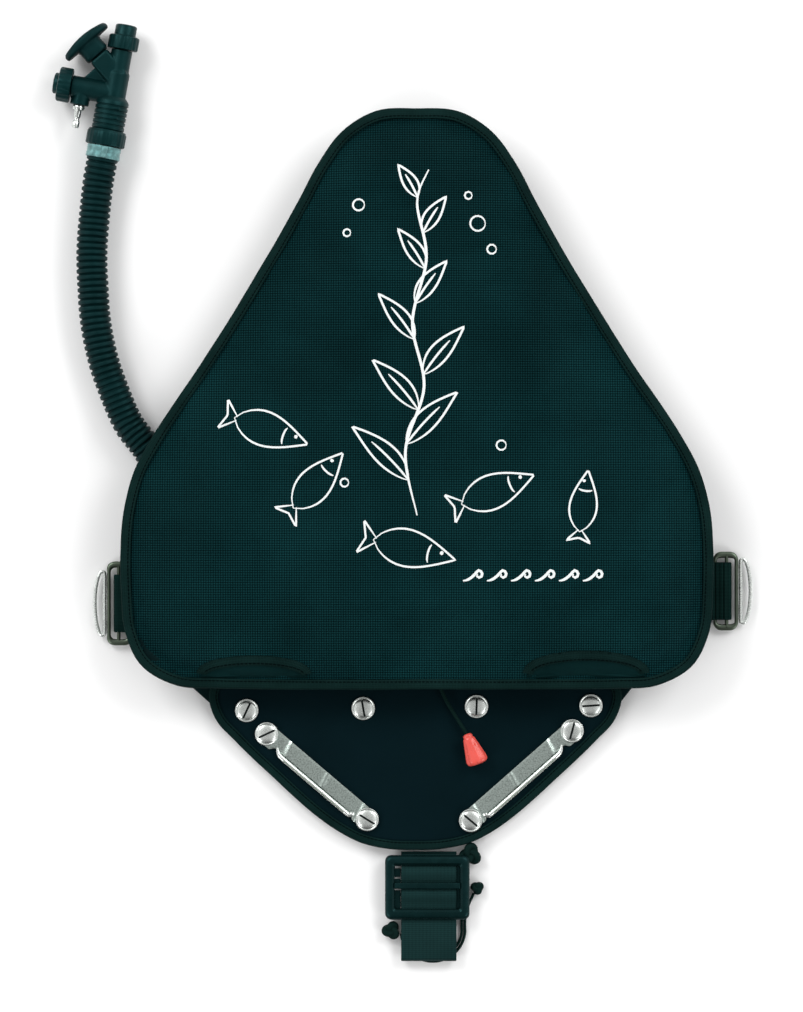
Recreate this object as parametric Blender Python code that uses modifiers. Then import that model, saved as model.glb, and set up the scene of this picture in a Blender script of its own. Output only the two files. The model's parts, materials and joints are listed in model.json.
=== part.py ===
"""Sidemount buoyancy compensator vest, lying flat on its diver side.

Metres, +Z up and out of the outer cover, +Y towards the top of the wing, +X to its right.
The origin is on the surface it lies on, under the middle of the wing.
"""

import math

import bmesh
import bpy
from mathutils import Matrix, Vector

# Thicknesses and gaps
GAP = 0.0003
FABRIC = 0.0016
WEBBING = 0.0025
WEBBING_WIDTH = 0.050

# The wing: a flat pillow whose two panels meet at a bound seam
SEAM_HEIGHT = 0.037
SEAM_SPLIT = 0.0004
WING_RISE = 0.024
WING_DIP = 0.0095
WING_POINTS = 48
WING_HALF = [
    (0, 0.2485), (0.030, 0.2472), (0.052, 0.2395), (0.0765, 0.214), (0.091, 0.188),
    (0.119, 0.137), (0.150, 0.085), (0.182, 0.0335), (0.217, -0.018), (0.2395, -0.057),
    (0.2507, -0.0955), (0.2537, -0.134), (0.2525, -0.176), (0.2477, -0.2116), (0.240, -0.2245),
    (0.2236, -0.237), (0.198, -0.2462), (0.100, -0.2485), (0, -0.2485),
]
# Each ring of the pillow: distance in from the seam, scale, share of the rise, share of the dip
WING_RINGS = [
    (0, 1, 0, 0), (0.0105, 1, 0, 0), (0.022, 1, 0.30, 0.10), (0.040, 1, 0.60, 0.20),
    (0.040, 0.80, 0.84, 0.45), (0.040, 0.55, 0.96, 0.95), (0.040, 0.25, 1, 1),
]
BINDING_WIDTH = 0.0085
BINDING = 0.0012
ARCH_WIDTH = 0.009
ARCHES = {"left": (-0.1402, 0.0455, 0.0097), "right": (0.1453, 0.0505, 0.0140)}
ARCH_FOOT = 0.0140

# Back pad and what is stacked on it
PAD_SIZE = Vector((0.140, 0.260, 0.019))
PAD_CENTRE = Vector((0, -0.020, 0.0095))
SPINE_PLATE_SIZE = Vector((0.080, 0.240, 0.003))
NECK_STRAP_Z = 0.0060
NECK_CLEARANCE = 0.0045

# Waist strap, slider and ring on each side: y of the middle, x of the outer bar, ring's reach
SIDES = {"left": (-1, -0.1763, 0.2665, 0.0120), "right": (1, -0.1656, 0.2765, 0.0120)}
BAR_RADIUS = 0.0016
BAR_HEIGHT = 0.0053
SLIDER_HALF_LENGTH = 0.0325
SLIDER_CORNER = 0.0055
MIDDLE_BAR_IN = 0.0085
INNER_BAR_IN = 0.0185
RING_HALF_LENGTH = 0.028
RING_WIRE = 0.0017
STRAP_LOOP_RADIUS = 0.00325
STRAP_INNER_END = {"left": 0.1368, "right": 0.105}

# Waist buckle, on the inner end of the left strap
WAIST_BUCKLE_X = (-0.1360, -0.0960)
WAIST_BUCKLE_Z = 0.0050

# Inflator hose port, hose and inflator
PORT = Vector((-0.190, -0.112, 0.0152))
HOSE_RADIUS = 0.0135
HOSE_START = 0.0243
HOSE_ROUTE = [
    (-0.2134, -0.0744, 0.0148), (-0.2240, -0.0575, 0.0142), (-0.2339, -0.0413, 0.0138),
    (-0.2507, -0.0181, 0.0138), (-0.2666, 0.0206, 0.0138), (-0.2739, 0.0464, 0.0138),
    (-0.2782, 0.0722, 0.0138), (-0.2799, 0.0980, 0.0138), (-0.2808, 0.1178, 0.0138),
    (-0.2804, 0.1367, 0.0138), (-0.2782, 0.1625, 0.0142), (-0.2752, 0.1883, 0.0155),
    (-0.2725, 0.2030, 0.0167), (-0.2707, 0.2128, 0.0172),
]
HOSE_TOP = Vector((-0.2700, 0.2167, 0.0172))
INFLATOR_AXIS = Vector((0.1805, 0.9836, 0)).normalized()
BRANCH_AXIS = Vector((-INFLATOR_AXIS.y, INFLATOR_AXIS.x, 0))
BRANCH_AT = 0.048
MOUTH_AT = 0.0625
MOUTH_ANGLE = math.radians(51.5)
MOUTH_AXIS = INFLATOR_AXIS * math.cos(MOUTH_ANGLE) + BRANCH_AXIS * math.sin(MOUTH_ANGLE)
MOUTH_NECK = 0.0250
NIPPLE_OUT = 0.028
TOP_TUBE = 0.0865
CAP_WALL = 0.0028
CAP_EDGE = 0.0012
CAP_LIP = 0.0020
CAP_FLOOR = 0.0018
CUT = 0.001

# Dump valve under the wing, its cord and its knob
VALVE = Vector((0.018, -0.205, 0))
CORD_RADIUS = 0.0016
CORD_ROUTE = [
    (0.0188, -0.2307, 0.0140), (0.0194, -0.2400, 0.0140), (0.0206, -0.2490, 0.0140),
    (0.0248, -0.2590, 0.0139), (0.0305, -0.2690, 0.0137), (0.0368, -0.2790, 0.0135),
    (0.0432, -0.2890, 0.0133),
]
KNOB_START = Vector((0.0434, -0.2893, 0.0180))
KNOB_END = Vector((0.0530, -0.3148, 0.0180))

# Lumbar plate, its rails and screws
LUMBAR_CENTRE_X = -0.0013
LUMBAR_POINTS = 36
LUMBAR_HALF = [
    (0, -0.234), (0.150, -0.234), (0.174, -0.246), (0.1765, -0.260), (0.172, -0.275),
    (0.160, -0.2885), (0.1475, -0.3019), (0.118, -0.3294), (0.0873, -0.3569),
    (0.0568, -0.3775), (0.030, -0.3862), (0, -0.388),
]
BACKING_OUTLINE = [
    (-0.150, -0.236), (0.150, -0.236), (0.197, -0.243), (0.171, -0.276), (0.150, -0.294),
    (-0.150, -0.294), (-0.171, -0.276), (-0.208, -0.243),
]
BACKING_Z = (0.0020, 0.0040)
LUMBAR_Z = (0.0060, 0.0092)
LUMBAR_HINGE = Vector((0, -0.2330, 0.0076))
PLATE_SCREWS = [(-0.1471, -0.2688), (-0.0464, -0.2670), (0.0516, -0.2653), (0.1505, -0.2646)]
RAILS = {
    "left": ((-0.1299, -0.2890), (-0.0430, -0.3629), -1),
    "right": ((0.1342, -0.2864), (0.0464, -0.3638), 1),
}
RAIL = 0.0015
SCREW_HEAD = 0.0102
SCREW_SHANK = 0.0025
SCREW_HOLE = 0.0029

# Crotch strap, its buckle and its bungee
CROTCH_X = 0.0103
CROTCH_WIDTH = 0.048
CROTCH_WEBBING = 0.0020
CROTCH_HINGE = Vector((CROTCH_X, -0.3905, 0.0042))
CROTCH_END = -0.4848
CROTCH_LAYERS = (0.0042, 0.0096)
BUCKLE_CENTRE = Vector((0.0090, -0.4218, 0))
BUCKLE_SIZE = (0.0730, 0.0558)
BUNGEE_RADIUS = 0.00125
BUNGEE_CENTRE = Vector((0.0138, -0.4584, 0.00155))
BUNGEE_LOOP = 0.0280
BUNGEE_TAIL = [(0.0283, 0.0130, 0), (0.0315, 0.0225, 0), (0.0355, 0.0310, 0)]

UP = Vector((0, 0, 1))
COLOURS = {
    "cover_fabric": ((0.012, 0.030, 0.036), 0.85, 0.0),
    "panel_fabric": ((0.010, 0.016, 0.018), 0.9, 0.0),
    "bladder_film": ((0.10, 0.11, 0.12), 0.5, 0.0),
    "binding_tape": ((0.008, 0.020, 0.018), 0.8, 0.0),
    "pad_foam": ((0.02, 0.02, 0.022), 0.95, 0.0),
    "webbing": ((0.010, 0.022, 0.020), 0.75, 0.0),
    "moulded_black": ((0.012, 0.028, 0.028), 0.4, 0.0),
    "black_rubber": ((0.012, 0.020, 0.020), 0.6, 0.0),
    "black_steel": ((0.05, 0.06, 0.055), 0.35, 1.0),
    "stainless": ((0.62, 0.64, 0.61), 0.28, 1.0),
    "lumbar_sheet": ((0.010, 0.020, 0.026), 0.6, 0.0),
    "clamp_plastic": ((0.45, 0.52, 0.50), 0.35, 0.0),
    "red_plastic": ((0.75, 0.04, 0.03), 0.4, 0.0),
    "bungee": ((0.010, 0.022, 0.018), 0.8, 0.0),
}


def clear_scene():
    for obj in list(bpy.data.objects):
        bpy.data.objects.remove(obj, do_unlink=True)
    for name in ("buoyancy_compensator_vest", "cutters"):
        bpy.context.scene.collection.children.link(bpy.data.collections.new(name))
    bpy.data.collections["cutters"].hide_render = True


def material(slot):
    found = bpy.data.materials.get(slot)
    if found:
        return found
    colour, roughness, metallic = COLOURS[slot]
    made = bpy.data.materials.new(slot)
    made.use_nodes = True
    shader = made.node_tree.nodes["Principled BSDF"]
    shader.inputs["Base Color"].default_value = (*colour, 1)
    shader.inputs["Roughness"].default_value = roughness
    shader.inputs["Metallic"].default_value = metallic
    made.diffuse_color = (*colour, 1)
    return made


def place(name, data, slot, location=(0, 0, 0), axis=None):
    """An object of the vest, with its own +Z turned to point along axis."""
    obj = bpy.data.objects.new(name, data)
    bpy.data.collections["buoyancy_compensator_vest"].objects.link(obj)
    turn = axis.to_track_quat("Z", "Y").to_matrix().to_4x4() if axis else Matrix()
    obj.matrix_world = Matrix.Translation(location) @ turn
    data.materials.append(material(slot))
    return obj


def as_cutter(obj):
    bpy.data.collections["buoyancy_compensator_vest"].objects.unlink(obj)
    bpy.data.collections["cutters"].objects.link(obj)
    obj.hide_render = True
    obj.display_type = "WIRE"
    return obj


def boolean(obj, other, operation):
    step = obj.modifiers.new(f"{operation.lower()} {other.name}", "BOOLEAN")
    step.operation = operation
    step.object = as_cutter(other)
    step.solver = "EXACT"


def curve_to_mesh(obj):
    """The same object as a mesh with welded caps, so that it can take a Boolean."""
    bpy.context.view_layer.update()
    graph = bpy.context.evaluated_depsgraph_get()
    mesh = bpy.data.meshes.new_from_object(obj.evaluated_get(graph))
    work = bmesh.new()
    work.from_mesh(mesh)
    bmesh.ops.remove_doubles(work, verts=work.verts, dist=0.000001)
    bmesh.ops.recalc_face_normals(work, faces=work.faces)
    work.to_mesh(mesh)
    work.free()
    name, matrix = obj.name, obj.matrix_world.copy()
    collection = obj.users_collection[0]
    bpy.data.objects.remove(obj)
    made = bpy.data.objects.new(name, mesh)
    collection.objects.link(made)
    made.matrix_world = matrix
    return made


def spline_point(before, start, end, after, t):
    """A point of the smooth curve between start and end."""
    return 0.5 * (
        2 * start
        + (end - before) * t
        + (2 * before - 5 * start + 4 * end - after) * t * t
        + (3 * start - before - 3 * end + after) * t ** 3
    )


def smooth(points, count, closed=False):
    """count points, evenly spaced, on a smooth curve through the given ones."""
    corners = [Vector(p) for p in points]
    size = len(corners)
    dense = []
    for i in range(size if closed else size - 1):
        if closed:
            four = [corners[(i + k) % size] for k in (-1, 0, 1, 2)]
        else:
            four = [corners[min(max(i + k, 0), size - 1)] for k in (-1, 0, 1, 2)]
        dense += [spline_point(*four, k / 12) for k in range(12)]
    dense.append(corners[0] if closed else corners[-1])
    lengths = [0]
    for a, b in zip(dense, dense[1:]):
        lengths.append(lengths[-1] + (b - a).length)
    found, i = [], 0
    for k in range(count):
        wanted = lengths[-1] * k / (count if closed else count - 1)
        while i < len(dense) - 2 and lengths[i + 1] < wanted:
            i += 1
        share = (wanted - lengths[i]) / max(lengths[i + 1] - lengths[i], 1e-9)
        found.append(dense[i].lerp(dense[i + 1], min(share, 1)))
    return found


def mirrored(half, centre_x=0):
    """The whole outline, clockwise from its top middle, of a half listed down its right side."""
    right = [Vector((centre_x + x, y)) for x, y in half]
    left = [Vector((centre_x - x, y)) for x, y in reversed(half[1:-1])]
    return right + left


def inset(outline, distance):
    """A clockwise outline moved inwards."""
    size = len(outline)
    moved = []
    for i, point in enumerate(outline):
        along = (outline[(i + 1) % size] - outline[i - 1]).normalized()
        moved.append(point + Vector((along.y, -along.x)) * distance)
    return moved


def mesh_of(name, build):
    mesh = bpy.data.meshes.new(name)
    work = bmesh.new()
    build(work)
    work.to_mesh(mesh)
    work.free()
    return mesh


def bridge(work, first, second, closed=True):
    size = len(first)
    for i in range(size if closed else size - 1):
        j = (i + 1) % size
        work.faces.new((first[i], first[j], second[j], second[i]))


def finish_smooth(obj, angle=35):
    obj.data.shade_smooth()
    obj.data.set_sharp_from_angle(angle=math.radians(angle))
    return obj


def box(name, slot, size, centre, rounding=0.001, segments=2):
    def build(work):
        bmesh.ops.create_cube(work, size=1, matrix=Matrix.Diagonal((*size, 1)))

    obj = place(name, mesh_of(name, build), slot, centre)
    if rounding:
        bevel = obj.modifiers.new("rounded edges", "BEVEL")
        bevel.width = rounding
        bevel.segments = segments
    return obj


def cylinder(name, slot, radius, start, end, sides=24, end_radius=None):
    def build(work):
        bmesh.ops.create_cone(
            work, cap_ends=True, segments=sides, radius1=radius,
            radius2=radius if end_radius is None else end_radius, depth=(end - start).length,
        )

    return place(name, mesh_of(name, build), slot, (start + end) / 2, end - start)


def turned(name, slot, profile, location, axis=UP, steps=24, ring=False):
    """A turned piece. The profile's (radius, height) points run down its outer side."""
    def build(work):
        points = [work.verts.new((r, 0, h)) for r, h in profile]
        for a, b in zip(points, points[1:] + points[:1] if ring else points[1:]):
            work.edges.new((a, b))

    obj = place(name, mesh_of(name, build), slot, location, axis)
    screw = obj.modifiers.new("turn", "SCREW")
    screw.steps = screw.render_steps = steps
    screw.use_merge_vertices = True
    screw.merge_threshold = 0.00001
    screw.use_smooth_shade = True
    return obj


def wire(name, slot, points, radius, closed=False, resolution=2):
    data = bpy.data.curves.new(name, "CURVE")
    data.dimensions = "3D"
    data.bevel_depth = radius
    data.bevel_resolution = resolution
    data.use_fill_caps = True
    line = data.splines.new("POLY")
    line.points.add(len(points) - 1)
    for target, point in zip(line.points, points):
        target.co = (*Vector(point).to_3d(), 1)
    line.use_cyclic_u = closed
    return place(name, data, slot)


def slab(name, slot, outlines, low, high):
    """A flat sheet: the first outline is its edge, and the others are holes in it."""
    data = bpy.data.curves.new(name, "CURVE")
    data.dimensions = "2D"
    data.fill_mode = "BOTH"
    data.extrude = (high - low) / 2
    for outline in outlines:
        line = data.splines.new("POLY")
        line.points.add(len(outline) - 1)
        for target, (x, y) in zip(line.points, outline):
            target.co = (x, y, 0, 1)
        line.use_cyclic_u = True
    return place(name, data, slot, (0, 0, (low + high) / 2))


def circle(centre, radius, count):
    turns = [2 * math.pi * k / count for k in range(count)]
    return [(centre[0] + radius * math.cos(a), centre[1] + radius * math.sin(a)) for a in turns]


def arc(centre, radius, first, last, count):
    """(first axis, second axis) points on an arc between two angles in degrees."""
    turns = [math.radians(first + (last - first) * k / count) for k in range(count + 1)]
    return [(centre[0] + radius * math.cos(a), centre[1] + radius * math.sin(a)) for a in turns]


def ribbon(name, slot, middles, across, thickness):
    """Webbing along a line of middle points, each with its half-width vector."""
    def build(work):
        rows = [[work.verts.new(m - a), work.verts.new(m + a)] for m, a in zip(middles, across)]
        for row, following in zip(rows, rows[1:]):
            work.faces.new((row[0], row[1], following[1], following[0]))

    obj = place(name, mesh_of(name, build), slot)
    solid = obj.modifiers.new("thickness", "SOLIDIFY")
    solid.thickness = thickness
    solid.offset = 0
    solid.use_even_offset = True
    return obj


def spring(name, slot, base, axis, radius, wire_radius, length, turns):
    count = turns * 8
    turn = axis.to_track_quat("Z", "Y").to_matrix()
    line = [
        base + turn @ Vector((
            radius * math.cos(2 * math.pi * turns * k / count),
            radius * math.sin(2 * math.pi * turns * k / count),
            wire_radius + (length - 2 * wire_radius) * k / count,
        ))
        for k in range(count + 1)
    ]
    return wire(name, slot, line, wire_radius, resolution=0)


def channel_ring(name, slot, outline, low, high, width, wall):
    """A folded tape round an edge: a U section carried along the outline."""
    section = [
        (0, high), (0, low), (-width, low), (-width, low + wall),
        (-wall, low + wall), (-wall, high - wall), (-width, high - wall), (-width, high),
    ]

    def build(work):
        rings = []
        for out, height in section:
            moved = inset(outline, -out - wall - GAP)
            rings.append([work.verts.new((p.x, p.y, height)) for p in moved])
        for first, second in zip(rings, rings[1:] + rings[:1]):
            bridge(work, first, second)
        bmesh.ops.recalc_face_normals(work, faces=work.faces)

    return place(name, mesh_of(name, build), slot)


def pivot(name, location, pieces):
    """An empty on a joint's axis, with the pieces that turn or slide on it."""
    empty = bpy.data.objects.new(name, None)
    bpy.data.collections["buoyancy_compensator_vest"].objects.link(empty)
    empty.location = location
    bpy.context.view_layer.update()
    for piece in pieces:
        piece.parent = empty
        piece.matrix_parent_inverse = empty.matrix_world.inverted()
    return empty


# The wing

def wing_rings(outline):
    """The pillow's rings of plan points, from the seam to near the middle."""
    middle = Vector((0, -0.045))
    for distance, scale, _, _ in WING_RINGS:
        yield [middle + (p - middle) * scale for p in inset(outline, distance)]


def panel(name, slot, outline, height_of, outwards):
    """One panel of the wing: an open dish with the fabric's thickness."""
    def build(work):
        rings = []
        for ring, (_, _, rise, dip) in zip(wing_rings(outline), WING_RINGS):
            rings.append([work.verts.new((p.x, p.y, height_of(rise, dip))) for p in ring])
        for first, second in zip(rings, rings[1:]):
            bridge(work, first, second)
        work.faces.new(rings[-1])
        bmesh.ops.recalc_face_normals(work, faces=work.faces)
        work.normal_update()
        if work.faces[:][-1].normal.z * outwards < 0:
            bmesh.ops.reverse_faces(work, faces=work.faces)

    obj = finish_smooth(place(name, mesh_of(name, build), slot))
    solid = obj.modifiers.new("thickness", "SOLIDIFY")
    solid.thickness = FABRIC
    solid.offset = -1
    return obj


def cover_height(distance):
    """Height of the outer panel's face at a distance in from the seam."""
    steps = [(d, rise) for d, scale, rise, _ in WING_RINGS if scale == 1]
    base = SEAM_HEIGHT + SEAM_SPLIT + FABRIC
    for (d0, r0), (d1, r1) in zip(steps, steps[1:]):
        if distance <= d1:
            return base + WING_RISE * (r0 + (r1 - r0) * (distance - d0) / (d1 - d0))
    return base + WING_RISE * steps[-1][1]


def air_bladder(outline):
    clearance = 0.0016
    edge = [(p.x, p.y, SEAM_HEIGHT + 0.0022) for p in inset(outline, 0.0190)]
    plans = list(wing_rings(outline))[2:]
    shares = WING_RINGS[2:]

    def build(work):
        rim = [work.verts.new(p) for p in edge]
        for sign in (1, -1):
            last = rim
            for ring, (_, _, rise, dip) in zip(plans, shares):
                height = SEAM_HEIGHT + SEAM_SPLIT + WING_RISE * rise - clearance
                if sign < 0:
                    height = SEAM_HEIGHT - SEAM_SPLIT - WING_DIP * dip + clearance
                following = [work.verts.new((p.x, p.y, height)) for p in ring]
                bridge(work, last, following)
                last = following
            work.faces.new(last)
        bmesh.ops.recalc_face_normals(work, faces=work.faces)

    return finish_smooth(place("air_bladder", mesh_of("air_bladder", build), "bladder_film"))


def arch_binding(side, centre_x, half_width, rise):
    """The taped edge of a half-moon opening at the outer panel's foot."""
    foot_y = WING_HALF[-1][1] + ARCH_FOOT
    line = [
        Vector((centre_x - half_width * math.cos(a), foot_y + rise * math.sin(a)))
        for a in (math.pi * k / 12 for k in range(13))
    ]
    middles, across = [], []
    for before, point, after in zip(line[:1] + line, line, line[1:] + line[-1:]):
        along = (after - before).normalized()
        sideways = Vector((-along.y, along.x)) * ARCH_WIDTH / 2
        ends = []
        for p in (point - sideways, point + sideways):
            height = cover_height(p.y - WING_HALF[-1][1]) + 0.0012 + GAP
            ends.append(Vector((p.x, p.y, height)))
        middles.append((ends[0] + ends[1]) / 2)
        across.append((ends[1] - ends[0]) / 2)
    return ribbon(f"arch_binding_{side}", "binding_tape", middles, across, 0.001)


def make_wing():
    outline = smooth(mirrored(WING_HALF), WING_POINTS, closed=True)
    top, bottom = SEAM_HEIGHT + SEAM_SPLIT, SEAM_HEIGHT - SEAM_SPLIT
    panel("outer_cover", "cover_fabric", outline,
          lambda rise, _: top + FABRIC + WING_RISE * rise, 1)
    inner = panel("inner_cover", "panel_fabric", outline,
                  lambda _, dip: bottom - FABRIC - WING_DIP * dip, -1)
    for name, centre, radius in (("port hole", PORT, 0.0125), ("valve hole", VALVE, 0.0145)):
        foot = Vector((centre.x, centre.y, 0.020))
        boolean(inner, cylinder(name, "panel_fabric", radius, foot, foot + UP * 0.025), "DIFFERENCE")
    air_bladder(outline)
    reach = SEAM_SPLIT + FABRIC + GAP + BINDING
    channel_ring("edge_binding", "binding_tape", outline, SEAM_HEIGHT - reach,
                 SEAM_HEIGHT + reach, BINDING_WIDTH, BINDING)
    for side, (centre_x, half_width, rise) in ARCHES.items():
        arch_binding(side, centre_x, half_width, rise)


# The harness under the wing

def make_back_stack():
    box("back_pad", "pad_foam", PAD_SIZE, PAD_CENTRE, 0.005, 3)
    height = PAD_SIZE.z + GAP + SPINE_PLATE_SIZE.z / 2
    box("spine_plate", "moulded_black", SPINE_PLATE_SIZE, Vector((0, PAD_CENTRE.y, height)), 0.001)
    height += SPINE_PLATE_SIZE.z / 2 + GAP + WEBBING / 2
    box("spine_webbing", "webbing", Vector((WEBBING_WIDTH, 0.250, WEBBING)),
        Vector((0, PAD_CENTRE.y, height)), 0)
    top, bottom = PAD_CENTRE.y - PAD_SIZE.y / 2 - GAP, LUMBAR_HINGE.y + NECK_CLEARANCE
    box("lumbar_neck_strap", "webbing", Vector((WEBBING_WIDTH, top - bottom, WEBBING)),
        Vector((0, (top + bottom) / 2, NECK_STRAP_Z + WEBBING / 2)), 0)


def make_shoulder_straps():
    route = [(0.030, 0.1410), (0.068, 0.1390), (0.098, 0.117), (0.106, 0.075), (0.105, -0.020),
             (0.105, -0.112)]
    for side, sign in (("left", -1), ("right", 1)):
        line = [Vector((sign * p.x, p.y, GAP + WEBBING / 2)) for p in smooth(route, 14)]
        across = []
        for before, after in zip(line[:1] + line, line[1:] + line[-1:]):
            along = (after - before).normalized()
            across.append(along.cross(UP) * WEBBING_WIDTH / 2)
        ribbon(f"shoulder_strap_{side}", "webbing", line, across, WEBBING)


def make_side(side):
    sign, y, outer, reach = SIDES[side]
    middle, inner = outer - MIDDLE_BAR_IN, outer - INNER_BAR_IN

    upper, lower = BAR_HEIGHT + STRAP_LOOP_RADIUS, BAR_HEIGHT - STRAP_LOOP_RADIUS
    profile = [(PAD_SIZE.x / 2 + GAP, upper), (0.170, upper)]
    profile += arc((middle, BAR_HEIGHT), STRAP_LOOP_RADIUS, 90, -90, 8)
    profile += [(0.200, lower), (STRAP_INNER_END[side], lower)]
    half = Vector((0, WEBBING_WIDTH / 2, 0))
    ribbon(f"waist_strap_{side}", "webbing", [Vector((sign * x, y, z)) for x, z in profile],
           [half] * len(profile), WEBBING)

    corners = []
    r = SLIDER_CORNER
    for cx, cy, first in ((outer - r, SLIDER_HALF_LENGTH - r, 0), (inner + r, SLIDER_HALF_LENGTH - r, 90),
                          (inner + r, r - SLIDER_HALF_LENGTH, 180), (outer - r, r - SLIDER_HALF_LENGTH, 270)):
        corners += arc((cx, cy), r, first, first + 90, 3)
    frame = wire(f"side_slider_{side}", "black_steel",
                 [(sign * x, y + dy, BAR_HEIGHT) for x, dy in corners], BAR_RADIUS, closed=True)
    frame = curve_to_mesh(frame)
    ends = [Vector((sign * middle, y + k * SLIDER_HALF_LENGTH, BAR_HEIGHT)) for k in (-1, 1)]
    boolean(frame, cylinder(f"middle bar {side}", "black_steel", BAR_RADIUS * 0.98, *ends, sides=10),
            "UNION")
    finish_smooth(frame)

    leg = outer + BAR_RADIUS + RING_WIRE + GAP
    bow = reach - 2 * RING_WIRE
    line = [(leg, -RING_HALF_LENGTH + 0.002), (leg, RING_HALF_LENGTH - 0.002)]
    line += [
        (leg + 0.0012 + (bow - 0.0012) * math.sin(a), RING_HALF_LENGTH * math.cos(a))
        for a in (math.pi * k / 16 for k in range(17))
    ]
    ring = wire(f"side_dring_{side}", "stainless",
                [(sign * x, y + dy, BAR_HEIGHT) for x, dy in line], RING_WIRE, closed=True, resolution=2)
    pivot(f"{side} ring pivot", (sign * leg, y, BAR_HEIGHT), [ring])


def make_waist_buckle():
    """A frame with a middle bar, and the lever that locks the belt under it."""
    y = SIDES["left"][1]
    left, right = WAIST_BUCKLE_X
    middle_x = (left + right) / 2
    half_y, rim, bar = 0.030, 0.003, 0.0028
    outline = [(left, y - half_y), (right, y - half_y), (right, y + half_y), (left, y + half_y)]
    windows = [
        [(left + rim, y - half_y + rim), (middle_x - rim / 2, y - half_y + rim),
         (middle_x - rim / 2, y + half_y - rim), (left + rim, y + half_y - rim)],
        [(middle_x + rim / 2, y - half_y + rim), (right - rim, y - half_y + rim),
         (right - rim, y + half_y - rim), (middle_x + rim / 2, y + half_y - rim)],
    ]
    slab("waist_buckle_frame", "stainless", [outline] + windows,
         WAIST_BUCKLE_Z - bar / 2, WAIST_BUCKLE_Z + bar / 2)
    thick = 0.0020
    lever = box("waist_buckle_lever", "stainless", Vector((right - left - 0.006, 0.052, thick)),
                Vector((middle_x, y, 0.0008 + thick / 2)), 0.0006, 1)
    pivot("waist lever pivot", (right - 0.004, y, 0.0018), [lever])


# Hose and inflator

def along_inflator(distance, out=0.0):
    return HOSE_TOP + INFLATOR_AXIS * distance + BRANCH_AXIS * out


def hose_path():
    start = PORT + (Vector(HOSE_ROUTE[0]) - PORT).normalized() * HOSE_START
    return smooth([start, *HOSE_ROUTE, along_inflator(0.0017)], 30)


def button_cap(name, seat, axis, reach, outer, hole, flutes):
    """The cup screwed on a button's housing. The button's flange is kept in by its lip."""
    wall = outer - CAP_WALL
    solid = [(0, reach), (outer - CAP_EDGE, reach), (outer, reach - CAP_EDGE), (outer, CAP_EDGE),
             (outer - CAP_EDGE, 0), (0, 0)]
    bore = [(0, reach + CUT), (hole, reach + CUT), (hole, reach - CAP_LIP), (wall, reach - CAP_LIP),
            (wall, CAP_FLOOR), (0, CAP_FLOOR)]
    cap = turned(name, "moulded_black", solid, seat, axis, steps=flutes)
    cutter = turned(f"{name} bore", "moulded_black", bore, seat, axis, steps=flutes)
    boolean(cap, cutter, "DIFFERENCE")
    return cap


def push_button(name, slot, seat, axis, low, top, radius, flange):
    """A button: a domed shaft with a flange at its foot."""
    profile = [
        (0, top), (radius * 0.6, top - 0.0003), (radius - 0.0008, top - 0.0010), (radius, top - 0.0020),
        (radius, low + 0.0020), (flange, low + 0.0020), (flange, low), (0, low),
    ]
    return turned(name, slot, profile, seat, axis, steps=20)


def make_inflator_body():
    grip, mid, upper, spigot = 0.0142, 0.0103, 0.0090, 0.0100
    grooves = []
    for k in (2, 1):
        at = 0.0163 + 0.0085 * k
        grooves += [(grip, at + 0.0012), (grip - 0.0012, at + 0.0006), (grip - 0.0012, at - 0.0006),
                    (grip, at - 0.0012)]
    profile = [
        (0, TOP_TUBE), (upper, TOP_TUBE), (upper, 0.0672), (mid, 0.0662), (mid, 0.0450),
        (grip - 0.001, 0.0425), (grip, 0.0412), *grooves, (grip, 0.0163), (spigot, 0.0163),
        (spigot, 0.0020), (0, 0.0020),
    ]
    body = turned("inflator_body", "moulded_black", profile, HOSE_TOP, INFLATOR_AXIS)
    seat = along_inflator(BRANCH_AT)
    branch = cylinder("branch", "moulded_black", 0.0095, seat, seat + BRANCH_AXIS * 0.0374)
    boss_top = seat + BRANCH_AXIS * NIPPLE_OUT
    boss = cylinder("nipple boss", "moulded_black", 0.0082, boss_top, boss_top - INFLATOR_AXIS * 0.0150, 20)
    mouth = along_inflator(MOUTH_AT)
    neck = cylinder("mouth neck", "moulded_black", 0.0093, mouth, mouth + MOUTH_AXIS * MOUTH_NECK, 20)
    for extra in (branch, boss, neck):
        boolean(body, extra, "UNION")
    return body


def make_mouthpiece():
    """The rubber mouthpiece: a sleeve that widens into an oval lip shield."""
    foot = along_inflator(MOUTH_AT) + MOUTH_AXIS * (MOUTH_NECK + GAP)
    inplane = MOUTH_AXIS.cross(UP)
    rows = [
        (0.0000, 0.0097, 0.0105), (0.0050, 0.0112, 0.0112), (0.0110, 0.0118, 0.0115),
        (0.0135, 0.0180, 0.0135), (0.0165, 0.0220, 0.0150), (0.0195, 0.0228, 0.0152),
        (0.0212, 0.0205, 0.0140),
    ]

    def build(work):
        rings = []
        for out, wide, high in rows:
            turns = [2 * math.pi * k / 24 for k in range(24)]
            rings.append([
                work.verts.new(foot + MOUTH_AXIS * out + inplane * wide * math.cos(a)
                               + UP * high * math.sin(a))
                for a in turns
            ])
        for first, second in zip(rings, rings[1:]):
            bridge(work, first, second)
        work.faces.new(rings[0])
        work.faces.new(rings[-1])
        bmesh.ops.recalc_face_normals(work, faces=work.faces)

    return finish_smooth(place("mouthpiece", mesh_of("mouthpiece", build), "black_rubber"))


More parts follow.
